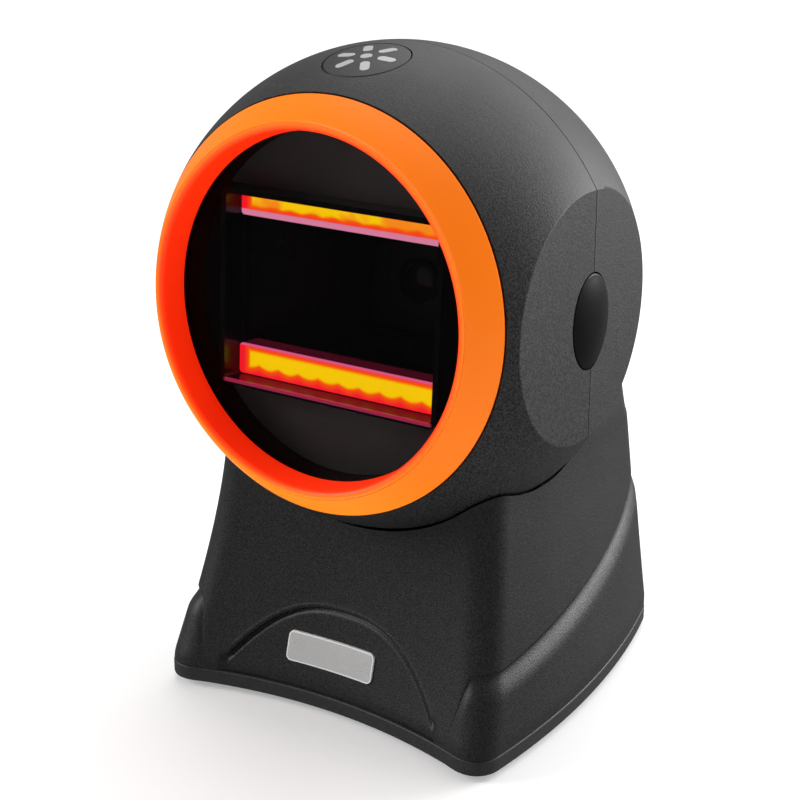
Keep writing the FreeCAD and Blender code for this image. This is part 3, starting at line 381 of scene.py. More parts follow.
def mask_plastic(name):
    """Dark grey disc above and below the hood, black beside the hood and gloss black inside it, and a painted line
    of magenta light on the hood's lower rim, which glows though the mask is no lamp."""
    disc_depth, hood_middle, hood_half_height = 21.2 * MM, 0.35 * MM, 21.0 * MM
    hood_depth, rim_up, rim_half_width = 26.4 * MM, -19.8 * MM, 26.6 * MM
    look = Look(name, grey(0.02), 0.2, Specular_IOR_Level=0.35, Emission_Strength=1.0)
    x, up, out = look.window_coordinates()
    disc = out.step(disc_depth + 0.2 * MM, disc_depth)
    beyond = (up - hood_middle).size().step(hood_half_height, hood_half_height + 0.2 * MM)
    flow = look.noise(12 * MM, 2.0, 0.5)
    dark = look.mix(flow, grey(0.15), grey(0.19))
    look.drive("Base Color", look.mix(disc * beyond, (0.0015, 0.0012, 0.0012, 1.0), dark))
    look.drive("Roughness", disc * 0.2 + flow * 0.06 + 0.1)
    # painted light: a line of magenta light on the hood's lower rim, put into the mask's glow
    edge = (up - rim_up).size().step(0.5 * MM, 0.3 * MM) * out.step(hood_depth, hood_depth + 0.3 * MM)
    painted_rim_light = edge * x.size().step(rim_half_width, rim_half_width - 0.8 * MM)
    look.drive("Emission Color", look.mix(painted_rim_light, (0.0, 0.0, 0.0, 1.0), (0.75, 0.04, 0.14, 1.0)))
    return look.material


def circuit_board(name, base):
    """Solder mask over faint copper tracks."""
    look = Look(name, base, 0.35, Coat_Weight=0.4, Coat_Roughness=0.12)
    x, y, z = look.coordinates()
    tracks = (x * 900.0).math("SINE") * (z * 700.0 + y * 700.0).math("SINE")
    copper = tracks.step(0.55, 0.7)
    weave = look.noise(0.0005, 1.0, 0.5)
    look.drive("Base Color", look.mix(copper * 0.6, base, shade(base, 1.9)))
    look.drive("Roughness", weave * 0.15 + 0.28)
    look.relief(copper, 0.00003)
    return look.material


def rubber(name, base):
    look = Look(name, base, 0.8)
    fine = look.noise(0.0007, 3.0, 0.6)
    dust = look.noise(0.006, 4.0, 0.6)
    look.drive("Base Color", look.mix(dust.step(0.45, 0.75) * 0.4, base, (0.09, 0.088, 0.082, 1.0)))
    look.drive("Roughness", (fine - 0.5) * 0.2 + 0.8)
    look.relief(fine, 0.00006)
    return look.material


# ---------------------------------------------------------------- mesh helpers
def axes_matrix(x_axis, y_axis, z_axis, origin=PIVOT):
    rows = [[x_axis[i], y_axis[i], z_axis[i], origin[i]] for i in range(3)]
    return Matrix(rows + [[0, 0, 0, 1]])


def window_matrix():
    """Local X across, Y up the window, Z out along the window's axis."""
    tilt = settings().head.window_tilt
    return axes_matrix((1, 0, 0), (0, math.sin(tilt), math.cos(tilt)), (0, -math.cos(tilt), math.sin(tilt)))


def badge_matrix():
    tilt = settings().head.badge_tilt
    return axes_matrix((1, 0, 0), (0, math.cos(tilt), math.sin(tilt)), (0, -math.sin(tilt), math.cos(tilt)))


def side_matrix(side):
    """Local Z out of the flat on one side; side is 1 or -1."""
    return axes_matrix((0, side, 0), (0, 0, 1), (side, 0, 0))


def rounded(corners, segments=5):
    """Closed outline with each corner (a, b, radius) rounded by an arc."""
    outline = []
    count = len(corners)
    for index, (a, b, radius) in enumerate(corners):
        here = Vector((a, b))
        before = (Vector(corners[index - 1][:2]) - here).normalized()
        after = (Vector(corners[(index + 1) % count][:2]) - here).normalized()
        if radius <= 0:
            outline.append(here)
            continue
        half = before.angle(after) / 2
        reach = radius / math.tan(half)
        centre = here + (before + after).normalized() * (radius / math.sin(half))
        start = here + before * reach - centre
        turn = start.angle_signed(here + after * reach - centre)
        for step in range(segments + 1):
            angle = -turn * step / segments
            arm = Vector((start.x * math.cos(angle) - start.y * math.sin(angle),
                          start.x * math.sin(angle) + start.y * math.cos(angle)))
            outline.append(centre + arm)
    return outline


def turned(profile, steps=192, closed=True):
    """Spin (radius, height) points about local Z."""
    bm = bmesh.new()
    verts = [bm.verts.new((point[0], 0, point[1])) for point in profile]
    pairs = list(zip(verts, verts[1:])) + ([(verts[-1], verts[0])] if closed else [])
    edges = [bm.edges.new(pair) for pair in pairs]
    bmesh.ops.spin(bm, geom=verts + edges, cent=(0, 0, 0), axis=(0, 0, 1), angle=FULL_TURN,
                   steps=steps, use_merge=True)
    bmesh.ops.remove_doubles(bm, verts=bm.verts, dist=1e-7)
    bmesh.ops.recalc_face_normals(bm, faces=bm.faces)
    return bm


def slice_off(bm, point, normal, clear=True):
    """Cut the mesh with a plane and drop what lies beyond it."""
    bmesh.ops.bisect_plane(bm, geom=bm.verts[:] + bm.edges[:] + bm.faces[:], dist=1e-7,
                           plane_co=point, plane_no=normal, clear_outer=clear)


def finish_piece(name, bm, material, body, replaces=(), smooth_angle=35.0, modifiers=()):
    """Turn a bmesh into a piece of the model that rides on a body."""
    mesh = bpy.data.meshes.new(name)
    bm.to_mesh(mesh)
    bm.free()
    for polygon in mesh.polygons:
        polygon.use_smooth = True
    mesh.set_sharp_from_angle(angle=math.radians(smooth_angle))
    piece = bpy.data.objects.new(name, mesh)
    bpy.context.scene.collection.objects.link(piece)
    mesh.materials.append(material)
    for kind, options in modifiers:
        modifier = piece.modifiers.new(kind.title(), kind)
        for option, value in options.items():
            setattr(modifier, option, value)
    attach(piece, body)
    if replaces:
        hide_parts(*replaces)
    return piece


def walled(thickness):
    return [("SOLIDIFY", {"thickness": thickness, "offset": -1.0, "use_even_offset": False})]


def bevelled(width, angle=35.0, segments=3):
    return [("BEVEL", {"width": width, "segments": segments, "limit_method": "ANGLE",
                       "angle_limit": math.radians(angle), "use_clamp_overlap": True}),
            ("WEIGHTED_NORMAL", {"weight": 60, "keep_sharp": False})]


def join(target, bm):
    """Add one mesh to another and free it."""
    mesh = bpy.data.meshes.new("joined")
    bm.to_mesh(mesh)
    bm.free()
    target.from_mesh(mesh)
    bpy.data.meshes.remove(mesh)


def new_verts(grown):
    """The vertices that an extrusion made."""
    return [item for item in grown["geom"] if isinstance(item, bmesh.types.BMVert)]


# ---------------------------------------------------------------- head shells
POCKET_STEPS = 40
SCREW_PLACES = ((26, 26), (-26, 26), (30, -13), (-30, -13))


def ball_mesh(radius):
    """Sphere with its poles on the flat sides, where they are cut away."""
    bm = bmesh.new()
    bmesh.ops.create_uvsphere(bm, u_segments=224, v_segments=112, radius=radius,
                              matrix=Matrix.Rotation(math.pi / 2, 4, "Y"))
    return bm


def flat_plane(side, rear):
    """Point and outward normal of the flat on one side of a shell."""
    head = settings().head
    point = Vector((side * head.flat_x, head.seam_y, 0))
    slope = head.flat_draft if rear else 0.0
    return point, Vector((side, slope, 0)).normalized()


def fill_flat(bm, side, rear, seam):
    """Close one flat, leaving half of the oval pocket open at the seam."""
    head = settings().head
    point, normal = flat_plane(side, rear)
    rim = [v for v in bm.verts if v.is_boundary and v.co.x * side > 0
           and abs((v.co - point).dot(normal)) < 1e-6]
    rim.sort(key=lambda v: math.atan2(v.co.z, (v.co.y - seam) if rear else (seam - v.co.y)))
    half_width = head.cap_half_width + head.cap_gap
    half_height = head.cap_half_height + head.cap_gap
    start = math.acos(max(-1.0, min(1.0, (seam - head.cap_y) / half_width)))
    turn = -2 * start if rear else FULL_TURN - 2 * start
    notch = []
    for step in range(POCKET_STEPS + 1):
        angle = start + turn * step / POCKET_STEPS
        y = head.cap_y + half_width * math.cos(angle)
        z = head.cap_z + half_height * math.sin(angle)
        x = point.x - normal.y / normal.x * (y - point.y)
        notch.append(bm.verts.new((x, y, z)))
    if notch[0].co.z < notch[-1].co.z:
        notch.reverse()
    face = bm.faces.new(rim + notch)
    face.normal_update()
    if face.normal.dot(normal) < 0:
        face.normal_flip()


def shell_mesh(rear):
    head = settings().head
    bm = ball_mesh(head.radius)
    seam = head.seam_y + (head.seam_gap if rear else 0.0)
    slice_off(bm, (0, seam, 0), (0, -1 if rear else 1, 0))
    for side in (1, -1):
        slice_off(bm, *flat_plane(side, rear))
    out = window_matrix().to_3x3()
    if rear:
        for x, up in SCREW_PLACES:
            deep = math.sqrt(head.radius ** 2 - (x * MM) ** 2 - (up * MM) ** 2)
            towards = (out @ Vector((x * MM, up * MM, -deep))).normalized()
            slice_off(bm, towards * math.sqrt(head.radius ** 2 - head.screw_hole ** 2), towards)
        cut_neck_slot(bm)
    else:
        seat = math.sqrt(head.radius ** 2 - head.ring_radius ** 2)
        slice_off(bm, out @ Vector((0, 0, seat)), out @ Vector((0, 0, 1)))
        crown = badge_matrix().to_3x3() @ Vector((0, 0, 1))
        hole = head.badge_radius + head.badge_gap
        slice_off(bm, crown * math.sqrt(head.radius ** 2 - hole ** 2), crown)
    rim = [v for v in bm.verts if v.is_boundary]
    bmesh.ops.remove_doubles(bm, verts=rim, dist=0.12 * MM)
    for side in (1, -1):
        fill_flat(bm, side, rear, seam)
    bmesh.ops.translate(bm, verts=bm.verts, vec=PIVOT)
    return bm


def cut_neck_slot(bm):
    """Slot under the rear shell in which the yoke's neck swings."""
    head = settings().head
    low, high, half = head.neck_front, head.neck_rear, head.neck_half_width
    for angle, sign in ((low, -1), (high, 1)):
        normal = Vector((0, math.cos(angle), math.sin(angle))) * sign
        slice_off(bm, (0, 0, 0), normal, clear=False)
    for side in (1, -1):
        slice_off(bm, (side * half, 0, 0), (side, 0, 0), clear=False)
    doomed = []
    for face in bm.faces:
        centre = face.calc_center_median()
        angle = math.atan2(centre.y, -centre.z)
        if abs(centre.x) < half and low < angle < high and centre.z < 0:
            doomed.append(face)
    bmesh.ops.delete(bm, geom=doomed, context="FACES")


class SCANNER_OT_head_shells(bpy.types.Operator):
    """Front and rear halves of the ball, with flats, seam, ring seat and oval pockets"""
    bl_idname = "scanner.head_shells"
    bl_label = "Head shells"

    def execute(self, context):
        head = settings().head
        material = spark_plastic("spark black", finish("shell"), 0.52, 0.4 * MM, 0.10 * MM, 0.85)
        for rear, node in ((False, "head_front_shell"), (True, "head_rear_shell")):
            finish_piece(node + "_skin", shell_mesh(rear), material, HEAD, [node],
                         modifiers=walled(head.wall) + bevelled(head.edge))
        return {"FINISHED"}


class SCANNER_OT_ring(bpy.types.Operator):
    """Orange ring around the window, spun with a rounded crest and a conical bore"""
    bl_idname = "scanner.ring"
    bl_label = "Ring"

    FACE_STEPS = 14

    def execute(self, context):
        head = settings().head
        seat = math.sqrt(head.radius ** 2 - head.ring_radius ** 2) + 0.05 * MM
        outer = head.ring_radius - head.ring_groove
        inner = head.ring_mouth + head.ring_crest * 0.9
        face = []
        for step in range(self.FACE_STEPS + 1):
            radius = outer + (inner - outer) * step / self.FACE_STEPS
            face.append((radius, math.sqrt(head.radius ** 2 - radius ** 2), 0))
        crest = face[-1][1] + 0.15 * MM
        corners = [(outer, seat, 0.15 * MM), (outer, face[0][1], 0.25 * MM)] + face[1:-1]
        corners += [(head.ring_mouth, crest, head.ring_crest), (head.ring_bore, seat, 0.2 * MM)]
        bm = turned(rounded(corners, 8), 256)
        bmesh.ops.transform(bm, matrix=window_matrix(), verts=bm.verts)
        finish_piece("window_ring", bm, ring_plastic("ring orange", finish("ring")), HEAD,
                     ["bezel_ring"], smooth_angle=50.0, modifiers=[WEIGHTED])
        return {"FINISHED"}


class SCANNER_OT_badge(bpy.types.Operator):
    """Disc on the crown with pale petals around a dot"""
    bl_idname = "scanner.badge"
    bl_label = "Crown badge"

    DOME_STEPS = 8
    INSERT_TOP, INSERT_BOTTOM = 0.09 * MM, -1.6 * MM

    def execute(self, context):
        head = settings().head
        matrix = badge_matrix()
        rim = math.sqrt(head.radius ** 2 - head.badge_radius ** 2)
        floor = rim - head.badge_depth
        corners = []
        for step in range(self.DOME_STEPS + 1):
            radius = head.badge_radius * 0.97 * step / self.DOME_STEPS
            corners.append((radius, math.sqrt(head.radius ** 2 - radius ** 2), 0))
        corners += [(head.badge_radius, rim, 0.3 * MM), (head.badge_radius, floor, 0.1 * MM), (0, floor, 0)]
        bm = turned(rounded(corners, 4), 96)
        bmesh.ops.transform(bm, matrix=matrix, verts=bm.verts)
        disc = spark_plastic("badge black", shade(finish("shell"), 0.8), 0.5, 0.5 * MM, 0.04 * MM, 0.25)
        finish_piece("crown_disc", bm, disc, HEAD, ["crown_badge"], modifiers=[WEIGHTED])
        pale = smooth_plastic("light insert", finish("insert"), 0.42, Coat_Weight=0.1,
                              Subsurface_Weight=0.1, Subsurface_Radius=(0.001, 0.001, 0.001))
        inserts = bmesh.new()
        self.insert(inserts, 0.0, 0.0, head.dot_radius, 0.0)
        half = head.petal_length / 2 - head.petal_width / 2
        for index in range(head.petals):
            angle = FULL_TURN * index / head.petals
            self.insert(inserts, head.petal_centre, half, head.petal_width / 2, angle)
        bmesh.ops.transform(inserts, matrix=matrix, verts=inserts.verts)
        finish_piece("status_petals", inserts, pale, HEAD, ["status_light_guide"],
                     modifiers=bevelled(0.08 * MM, segments=2))
        return {"FINISHED"}

    def insert(self, target, distance, half, radius, angle):
        """One round-ended insert, from below the disc to just over its crown."""
        head = settings().head
        bm = bmesh.new()
        bmesh.ops.create_circle(bm, cap_ends=True, segments=40, radius=radius)
        for vert in bm.verts:
            vert.co.x += distance + (half if vert.co.x > 0 else -half)
        raised = new_verts(bmesh.ops.extrude_face_region(bm, geom=bm.faces[:]))
        for vert in bm.verts:
            across = vert.co.x ** 2 + vert.co.y ** 2
            lift = self.INSERT_TOP if vert in raised else self.INSERT_BOTTOM
            vert.co.z = math.sqrt(head.radius ** 2 - across) + lift
        bmesh.ops.recalc_face_normals(bm, faces=bm.faces)
        bmesh.ops.rotate(bm, cent=(0, 0, 0), matrix=Matrix.Rotation(angle, 3, "Z"), verts=bm.verts)
        join(target, bm)


class SCANNER_OT_caps(bpy.types.Operator):
    """Oval domed caps over the tilt pivots"""
    bl_idname = "scanner.caps"
    bl_label = "Side caps"

    DOME_SHARE, DOME_POWER = 0.955, 2.2
    EDGE_DROP, SEAT_DEPTH = 0.35 * MM, 1.5 * MM

    def execute(self, context):
        head = settings().head
        material = smooth_plastic("cap black", finish("cap"), 0.34, Specular_IOR_Level=0.1)

        def dome(share):
            return head.flat_x + head.cap_dome * (1 - share ** self.DOME_POWER)

        profile = []
        for step in range(11):
            share = self.DOME_SHARE * step / 10
            profile.append((share, dome(share)))
        for step in range(1, 6):
            angle = math.pi / 2 * step / 5
            profile.append((self.DOME_SHARE + (1 - self.DOME_SHARE) * math.sin(angle),
                            dome(self.DOME_SHARE) - self.EDGE_DROP * (1 - math.cos(angle))))
        profile += [(1.0, head.flat_x - self.SEAT_DEPTH), (0.0, head.flat_x - self.SEAT_DEPTH)]
        for side, name, node in ((1, "cap_right", "side_cap_right"), (-1, "cap_left", "side_cap_left")):
            bm = turned(profile, 96)
            bmesh.ops.scale(bm, vec=(head.cap_half_width, head.cap_half_height, 1.0), verts=bm.verts)
            bmesh.ops.translate(bm, vec=(side * head.cap_y, head.cap_z, 0), verts=bm.verts)
            bmesh.ops.transform(bm, matrix=side_matrix(side), verts=bm.verts)
            finish_piece(name, bm, material, HEAD, [node], smooth_angle=50.0,
                         modifiers=[WEIGHTED])
        return {"FINISHED"}


# ---------------------------------------------------------------- stand
def smooth(value, low, high):
    share = min(max((value - low) / (high - low), 0.0), 1.0)
    return share * share * (3 - 2 * share)


def hump(value, middle, width):
    return math.exp(-((value - middle) / width) ** 2)


class StandForm:
    """The stand's outer surface: plan outlines that change with height."""

    FRONT, CORNER, SIDE, REAR = 64, 14, 116, 26
    SIDE_FLARE, FRONT_FLARE, REAR_FLARE = 1.28, 1.79, 0.60
    SIDE_BOW, SIDE_BOW_GROWTH = 1.5, 0.9
    FRONT_HOLLOW, FRONT_HOLLOW_GROWTH = 2.5, 2.0
    REAR_BOW = 2.0
    WIDEST = -5.0 * MM
    CORNER_WEIGHT = 0.72
    LINE_HEIGHT = -70 * MM
    ARCH_POWER = 2.6
    SWOOSH_START, SWOOSH_RUN, SWOOSH_LOW = -30.0 * MM, 93.0 * MM, -71.8 * MM
    SWOOSH_RISES = ((16.0 * MM, 1.6), (17.0 * MM, 10))

    def __init__(self):
        self.sizes = settings().stand
        self.middle_outline = self.outline(self.LINE_HEIGHT)

    def outline(self, z, grow=0.0):
        """Right half of the plan outline at one height, from the front middle to the rear middle."""
        s = self.sizes
        share = (s.shoulder - z) / (s.shoulder - s.foot)
        blend = min(max(share, 0.0), 1.0)

        def flared(shoulder, foot, power):
            return shoulder + grow + (foot - shoulder) * math.copysign(abs(share) ** power, share)

        half = flared(s.shoulder_half_width, s.foot_half_width, self.SIDE_FLARE)
        front = -flared(s.shoulder_front, s.foot_front, self.FRONT_FLARE)
        rear = flared(s.shoulder_rear, s.foot_rear, self.REAR_FLARE)
        bow = self.SIDE_BOW + self.SIDE_BOW_GROWTH * blend
        hollow = self.FRONT_HOLLOW + self.FRONT_HOLLOW_GROWTH * blend

        def side_x(y):
            return half - bow * (y - self.WIDEST) ** 2

        def side_slope(y):
            return -2 * bow * (y - self.WIDEST), 1

        front_x = rear_x = half
        for _ in range(25):
            front_y = front - hollow * front_x ** 2
            front_x = side_x(front_y)
            rear_y = rear - self.REAR_BOW * rear_x ** 2
            rear_x = side_x(rear_y)
        reach = s.corner + grow
        turn_x, low = front_x - reach, front_y + reach
        points = []
        for step in range(self.FRONT):
            x = turn_x * step / self.FRONT
            points.append(Vector((x, front - hollow * x * x)))
        points += self.bend((turn_x, front - hollow * turn_x ** 2), (1, -2 * hollow * turn_x),
                            (side_x(low), low), side_slope(low))
        turn_x, high = rear_x - reach, rear_y - reach
        for step in range(1, self.SIDE):
            y = low + (high - low) * step / self.SIDE
            points.append(Vector((side_x(y), y)))
        points += self.bend((side_x(high), high), side_slope(high),
                            (turn_x, rear - self.REAR_BOW * turn_x ** 2), (1, -2 * self.REAR_BOW * turn_x))
        for step in range(1, self.REAR + 1):
            x = turn_x * (1 - step / self.REAR)
            points.append(Vector((x, rear - self.REAR_BOW * x * x)))
        return points

    def bend(self, start, start_slope, end, end_slope):
        """Round corner between two curves: a conic that meets both of them smoothly."""
        p0, p2 = Vector(start), Vector(end)
        a, b = Vector(start_slope), Vector(end_slope)
        gap = p2 - p0
        p1 = p0 + a * ((gap.x * b.y - gap.y * b.x) / (a.x * b.y - a.y * b.x))
        points = []
        for step in range(self.CORNER + 1):
            t = step / self.CORNER
            w0, w1, w2 = (1 - t) ** 2, 2 * self.CORNER_WEIGHT * t * (1 - t), t * t
            points.append((p0 * w0 + p1 * w1 + p2 * w2) / (w0 + w1 + w2))
        return points

    def swoosh(self, y):
        """Height of the line on the side, at a distance behind the pivot."""
        share = min(max((y - self.SWOOSH_START) / self.SWOOSH_RUN, 0.0), 1.0)
        return self.SWOOSH_LOW + sum(rise * share ** power for rise, power in self.SWOOSH_RISES)

    def feature(self, index):
        """Height of the moulded line on one column, its slope, how far the surface below it moves
        and how strongly the line shows there."""
        s = self.sizes
        place = self.middle_outline[index]
        low = s.foot + 3.0 * MM
        if index < self.FRONT and place.x < s.arch_half_width:
            share = place.x / s.arch_half_width
            height = s.foot + s.arch_height * (1 - share ** self.ARCH_POWER)
            slope = s.arch_height / s.arch_half_width * self.ARCH_POWER * share ** (self.ARCH_POWER - 1)
            return max(height, low), slope, -s.sink, 1.0 - smooth(share, 0.92, 1.0)
        forward = place.y < 0
        strength = smooth(place.x / MM, 30.0, 39.5) if forward else 1.0
        rise = smooth(place.x / MM, 30.0, 36.0) if forward else 1.0
        slope = (self.swoosh(place.y + MM) - self.swoosh(place.y - MM)) / (2 * MM)
        return low + (self.swoosh(place.y) - low) * rise, slope, s.step, strength

    def relief(self, depth, move):
        """How far the surface moves at a depth below a moulded line, counted in bands: the sunk arch has
        a groove along its edge, and the rear quarter drops in under the swoosh and swells out again."""
        groove = self.sizes.groove
        if move < 0:
            edge = 0.22 * hump(depth, -0.95, 0.3) - hump(depth, 0.05, 0.38)
            return move * smooth(depth, -0.65, 0.0) + groove * edge
        return (move + groove) * smooth(depth, 0.0, 3.6) - groove * smooth(depth, -0.55, 0.1)


class SCANNER_OT_stand(bpy.types.Operator):
    """Stand shell: flared sides, saddle for the ball, raised rear quarter and sunk arch"""
    bl_idname = "scanner.stand"
    bl_label = "Stand shell"

    LOW_ROWS, STEP_ROWS, HIGH_ROWS, SADDLE_ROWS = 12, 16, 22, 12
    TUCK_HEIGHT = 2.6 * MM
    POLE = Vector((0, math.sin(math.radians(25.0)), -math.cos(math.radians(25.0))))
    POLE_SHARE = 0.82
    SOCKET_GAP, SOCKET_MARGIN = 0.3 * MM, 3.0 * MM

    def execute(self, context):
        s = settings().stand
        form = StandForm()
        self.cache = {}
        columns = [self.column(form, index) for index in range(len(form.outline(s.foot)))]
        columns += [[Vector((-p.x, p.y, p.z)) for p in column] for column in columns[-2:0:-1]]
        bm = bmesh.new()
        bmesh.ops.create_circle(bm, cap_ends=False, segments=len(columns), radius=0.04)
        bm.verts.ensure_lookup_table()
        ring = bm.verts[:]
        for vert, column in zip(ring, columns):
            vert.co = column[0]
        edges = bm.edges[:]
        for row in range(1, len(columns[0])):
            grown = bmesh.ops.extrude_edge_only(bm, edges=edges)
            fresh = set(new_verts(grown))
            edges = [item for item in grown["geom"] if isinstance(item, bmesh.types.BMEdge)
                     and all(v in fresh for v in item.verts)]
            following = {}
            for vert in ring:
                for edge in vert.link_edges:
                    other = edge.other_vert(vert)
                    if other in fresh:
                        following[vert] = other
            ring = [following[vert] for vert in ring]
            for vert, column in zip(ring, columns):
                vert.co = column[row]
        bmesh.ops.recalc_face_normals(bm, faces=bm.faces)
        reference = max(bm.faces, key=lambda f: f.calc_center_median().x)
        if reference.normal.x < 0:
            bmesh.ops.reverse_faces(bm, faces=bm.faces)
        bmesh.ops.translate(bm, verts=bm.verts, vec=PIVOT)
        self.cut_socket_opening(bm)
        material = spark_plastic("stand black", finish("stand"), 0.44, 0.36 * MM, 0.09 * MM, 0.8)
        finish_piece("stand_skin", bm, material, STAND, ["stand_shell"], smooth_angle=60.0,
                     modifiers=walled(s.wall) + bevelled(0.55 * MM, 48.0))
        return {"FINISHED"}

    def cut_socket_opening(self, bm):
        """Opening in the rear of the shell around the cable socket."""
        low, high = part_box("cable_socket")
        gap = Vector((self.SOCKET_GAP, 0, self.SOCKET_GAP))
        low, high = low - gap, high + gap

        def near(face, reach):
            centre = face.calc_center_median()
            return (centre.y > high.y - self.SOCKET_MARGIN
                    and low.x - reach < centre.x < high.x + reach
                    and low.z - reach < centre.z < high.z + reach)

        for point, normal in ((low, (-1, 0, 0)), (high, (1, 0, 0)), (low, (0, 0, -1)), (high, (0, 0, 1))):
            faces = [face for face in bm.faces if near(face, self.SOCKET_MARGIN)]
            edges = list({edge for face in faces for edge in face.edges})
            verts = list({vert for face in faces for vert in face.verts})
            bmesh.ops.bisect_plane(bm, geom=verts + edges + faces, dist=1e-7, plane_co=point,
                                   plane_no=normal)
        bmesh.ops.delete(bm, geom=[face for face in bm.faces if near(face, 0.0)], context="FACES")

    def surface(self, form, index, z, grow):
        """Point of the outer surface on one column."""
        key = (round(z, 7), round(grow, 7))
        if key not in self.cache:
            self.cache[key] = form.outline(z, grow)
        place = self.cache[key][index]
        return Vector((place.x, place.y, z))

    def column(self, form, index):
        """Points of one column, from the foot over the moulded line to the rim and down the saddle."""
        s = form.sizes
        top = self.rim_height(form, index)
        line, slope, move, strength = form.feature(index)
        line = min(line, top - 4.0 * MM)
        band = s.line_width * math.sqrt(1 + slope * slope)
        reach = min(1.4 * band, line - s.foot - 0.3 * MM)
        heights = [s.foot + (line - reach - s.foot) * i / self.LOW_ROWS for i in range(self.LOW_ROWS)]
        heights += [line - reach + 2 * reach * i / self.STEP_ROWS for i in range(self.STEP_ROWS)]
        start = line + reach
        heights += [start + (top - start) * i / self.HIGH_ROWS for i in range(self.HIGH_ROWS + 1)]
        points = []
        for z in heights:
            grow = strength * form.relief((line - z) / band, move)
            tuck = max(0.0, 1 - (z - s.foot) / self.TUCK_HEIGHT)
            points.append(self.surface(form, index, z, grow - s.tuck * tuck ** 2))
        return points + self.saddle(points[-1])

    def rim_height(self, form, index):
        """Where a column of the outer surface meets the ball's hollow, or the flat top of the rear."""
        s = form.sizes
        if self.surface(form, index, s.top, 0.0).length >= s.saddle:
            return s.top
        low, high = form.LINE_HEIGHT, s.top
        for _ in range(26):
            middle = (low + high) / 2
            place = form.outline(middle)[index]
            if Vector((place.x, place.y, middle)).length > s.saddle:
                low = middle
            else:
                high = middle
        return low

    def saddle(self, rim):
        """From the rim, down the ball's hollow to the neck's hole."""
        saddle = settings().stand.saddle
        outside = rim.length > saddle + 0.05 * MM
        start = rim
        if outside:
            across = math.hypot(rim.x, rim.y)
            flat = math.sqrt(saddle ** 2 - rim.z ** 2)
            start = Vector((rim.x / across * flat, rim.y / across * flat, rim.z))
        start = start.normalized()
        points = [start.slerp(self.POLE, row / self.SADDLE_ROWS * self.POLE_SHARE) * saddle
                  for row in range(self.SADDLE_ROWS + 1)]
        return points if outside else points[1:] + [points[-1].lerp(self.POLE * saddle, 0.02)]


class SCANNER_OT_base(bpy.types.Operator):
    """Base plate with its rounded lower edge, rubber feet and the blank name plate"""
    bl_idname = "scanner.base"
    bl_label = "Base, feet and name plate"

    FEET = [(x * MM, y * MM) for x, y in ((32.0, -22.5), (-32.0, -22.5), (29.0, 48.0), (-29.0, 48.0))]
    SEAM = 0.12 * MM
    PLATE_PROUD, PLATE_BACK = 0.45 * MM, -0.3 * MM

    def execute(self, context):
        self.base_plate()
        self.feet()
        self.name_plate()
        return {"FINISHED"}

    def base_plate(self):
        s = settings().stand
        form = StandForm()
        bm = bmesh.new()
        half = []
        proud = form.outline(s.foot, s.step - s.base_inset)
        for index, plain in enumerate(form.outline(s.foot, -s.base_inset)):
            line, slope, move, strength = form.feature(index)
            half.append(plain.lerp(proud[index], strength if move > 0 else 0.0))
        outline = half + [Vector((-p.x, p.y)) for p in half[-2:0:-1]]
        top = s.foot - self.SEAM
        face = bm.faces.new([bm.verts.new((p.x, p.y, top)) for p in outline])
        moved = new_verts(bmesh.ops.extrude_face_region(bm, geom=[face]))
        bmesh.ops.translate(bm, verts=moved, vec=(0, 0, s.base_bottom - top))
        bmesh.ops.recalc_face_normals(bm, faces=bm.faces)
        bmesh.ops.translate(bm, verts=bm.verts, vec=PIVOT)
        # partly painted light: the base is a lighter copy of the stand's plastic; a little of that is its own
        # colour, the rest lifts its face out of the shade under the shell
        material = spark_plastic("base black", shade(finish("stand"), 2.4), 0.5, 0.4 * MM, 0.06 * MM, 0.3)
        finish_piece("base_tray", bm, material, STAND, ["base_plate"],
                     modifiers=bevelled(0.45 * MM, segments=4))

    def feet(self):
        low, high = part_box("rubber_feet")
        radius = settings().stand.pad_radius
        height = high.z - low.z
        dish = 0.15 * MM
        corners = [(0, dish, 0), (radius * 0.72, dish, 0.1 * MM), (radius * 0.78, 0, 0.1 * MM),
                   (radius, 0, 0.5 * MM), (radius, height, 0), (0, height, 0)]
        pads = bmesh.new()
        for x, y in self.FEET:
            pad = turned(rounded(corners, 4), 64)
            bmesh.ops.translate(pad, verts=pad.verts, vec=(x, y + PIVOT.y, low.z))
            join(pads, pad)
        finish_piece("foot_pads", pads, rubber("foot rubber", grey(0.012)), STAND,
                     ["rubber_feet"])

    def name_plate(self):
        s = settings().stand
        low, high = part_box("name_plate")
        centre = (low + high) / 2
        middle = centre - PIVOT
        half_width, half_height, corner = s.plate_width / 2, s.plate_height / 2, s.plate_corner
        corners = [(half_width, half_height, corner), (-half_width, half_height, corner),
                   (-half_width, -half_height, corner), (half_width, -half_height, corner)]
        form = StandForm()
        bm = bmesh.new()
        bm.faces.new([bm.verts.new((middle.x + point.x, 0, middle.z + point.y))
                      for point in rounded(corners, 8)])
        bmesh.ops.subdivide_edges(bm, edges=[e for e in bm.edges if e.calc_length() > 5 * MM], cuts=12)
        raised = new_verts(bmesh.ops.extrude_face_region(bm, geom=bm.faces[:]))
        for vert in bm.verts:
            face = self.front_y(form, vert.co.x, vert.co.z) + s.sink
            vert.co.y = face - (self.PLATE_PROUD if vert in raised else self.PLATE_BACK)
        bmesh.ops.recalc_face_normals(bm, faces=bm.faces)
        bmesh.ops.translate(bm, verts=bm.verts, vec=PIVOT)
        material = plate_plastic(centre, half_width - corner, half_height - corner, corner)
        finish_piece("blank_plate", bm, material, STAND, ["name_plate"],
                     modifiers=bevelled(0.14 * MM, segments=3))

    def front_y(self, form, x, z):
        """Front face of the stand at one place."""
        points = form.outline(z)
        for first, second in zip(points, points[1:]):
            if first.x <= abs(x) <= second.x:
                share = (abs(x) - first.x) / (second.x - first.x)
                return first.y + (second.y - first.y) * share
        raise RuntimeError("the name plate is wider than the stand's front")


# ---------------------------------------------------------------- inside
def paint(node, material):
    """Give one of the frame's own parts its material."""
    materials = frame["nodes"][node].data.materials
    materials.clear()
    materials.append(material)


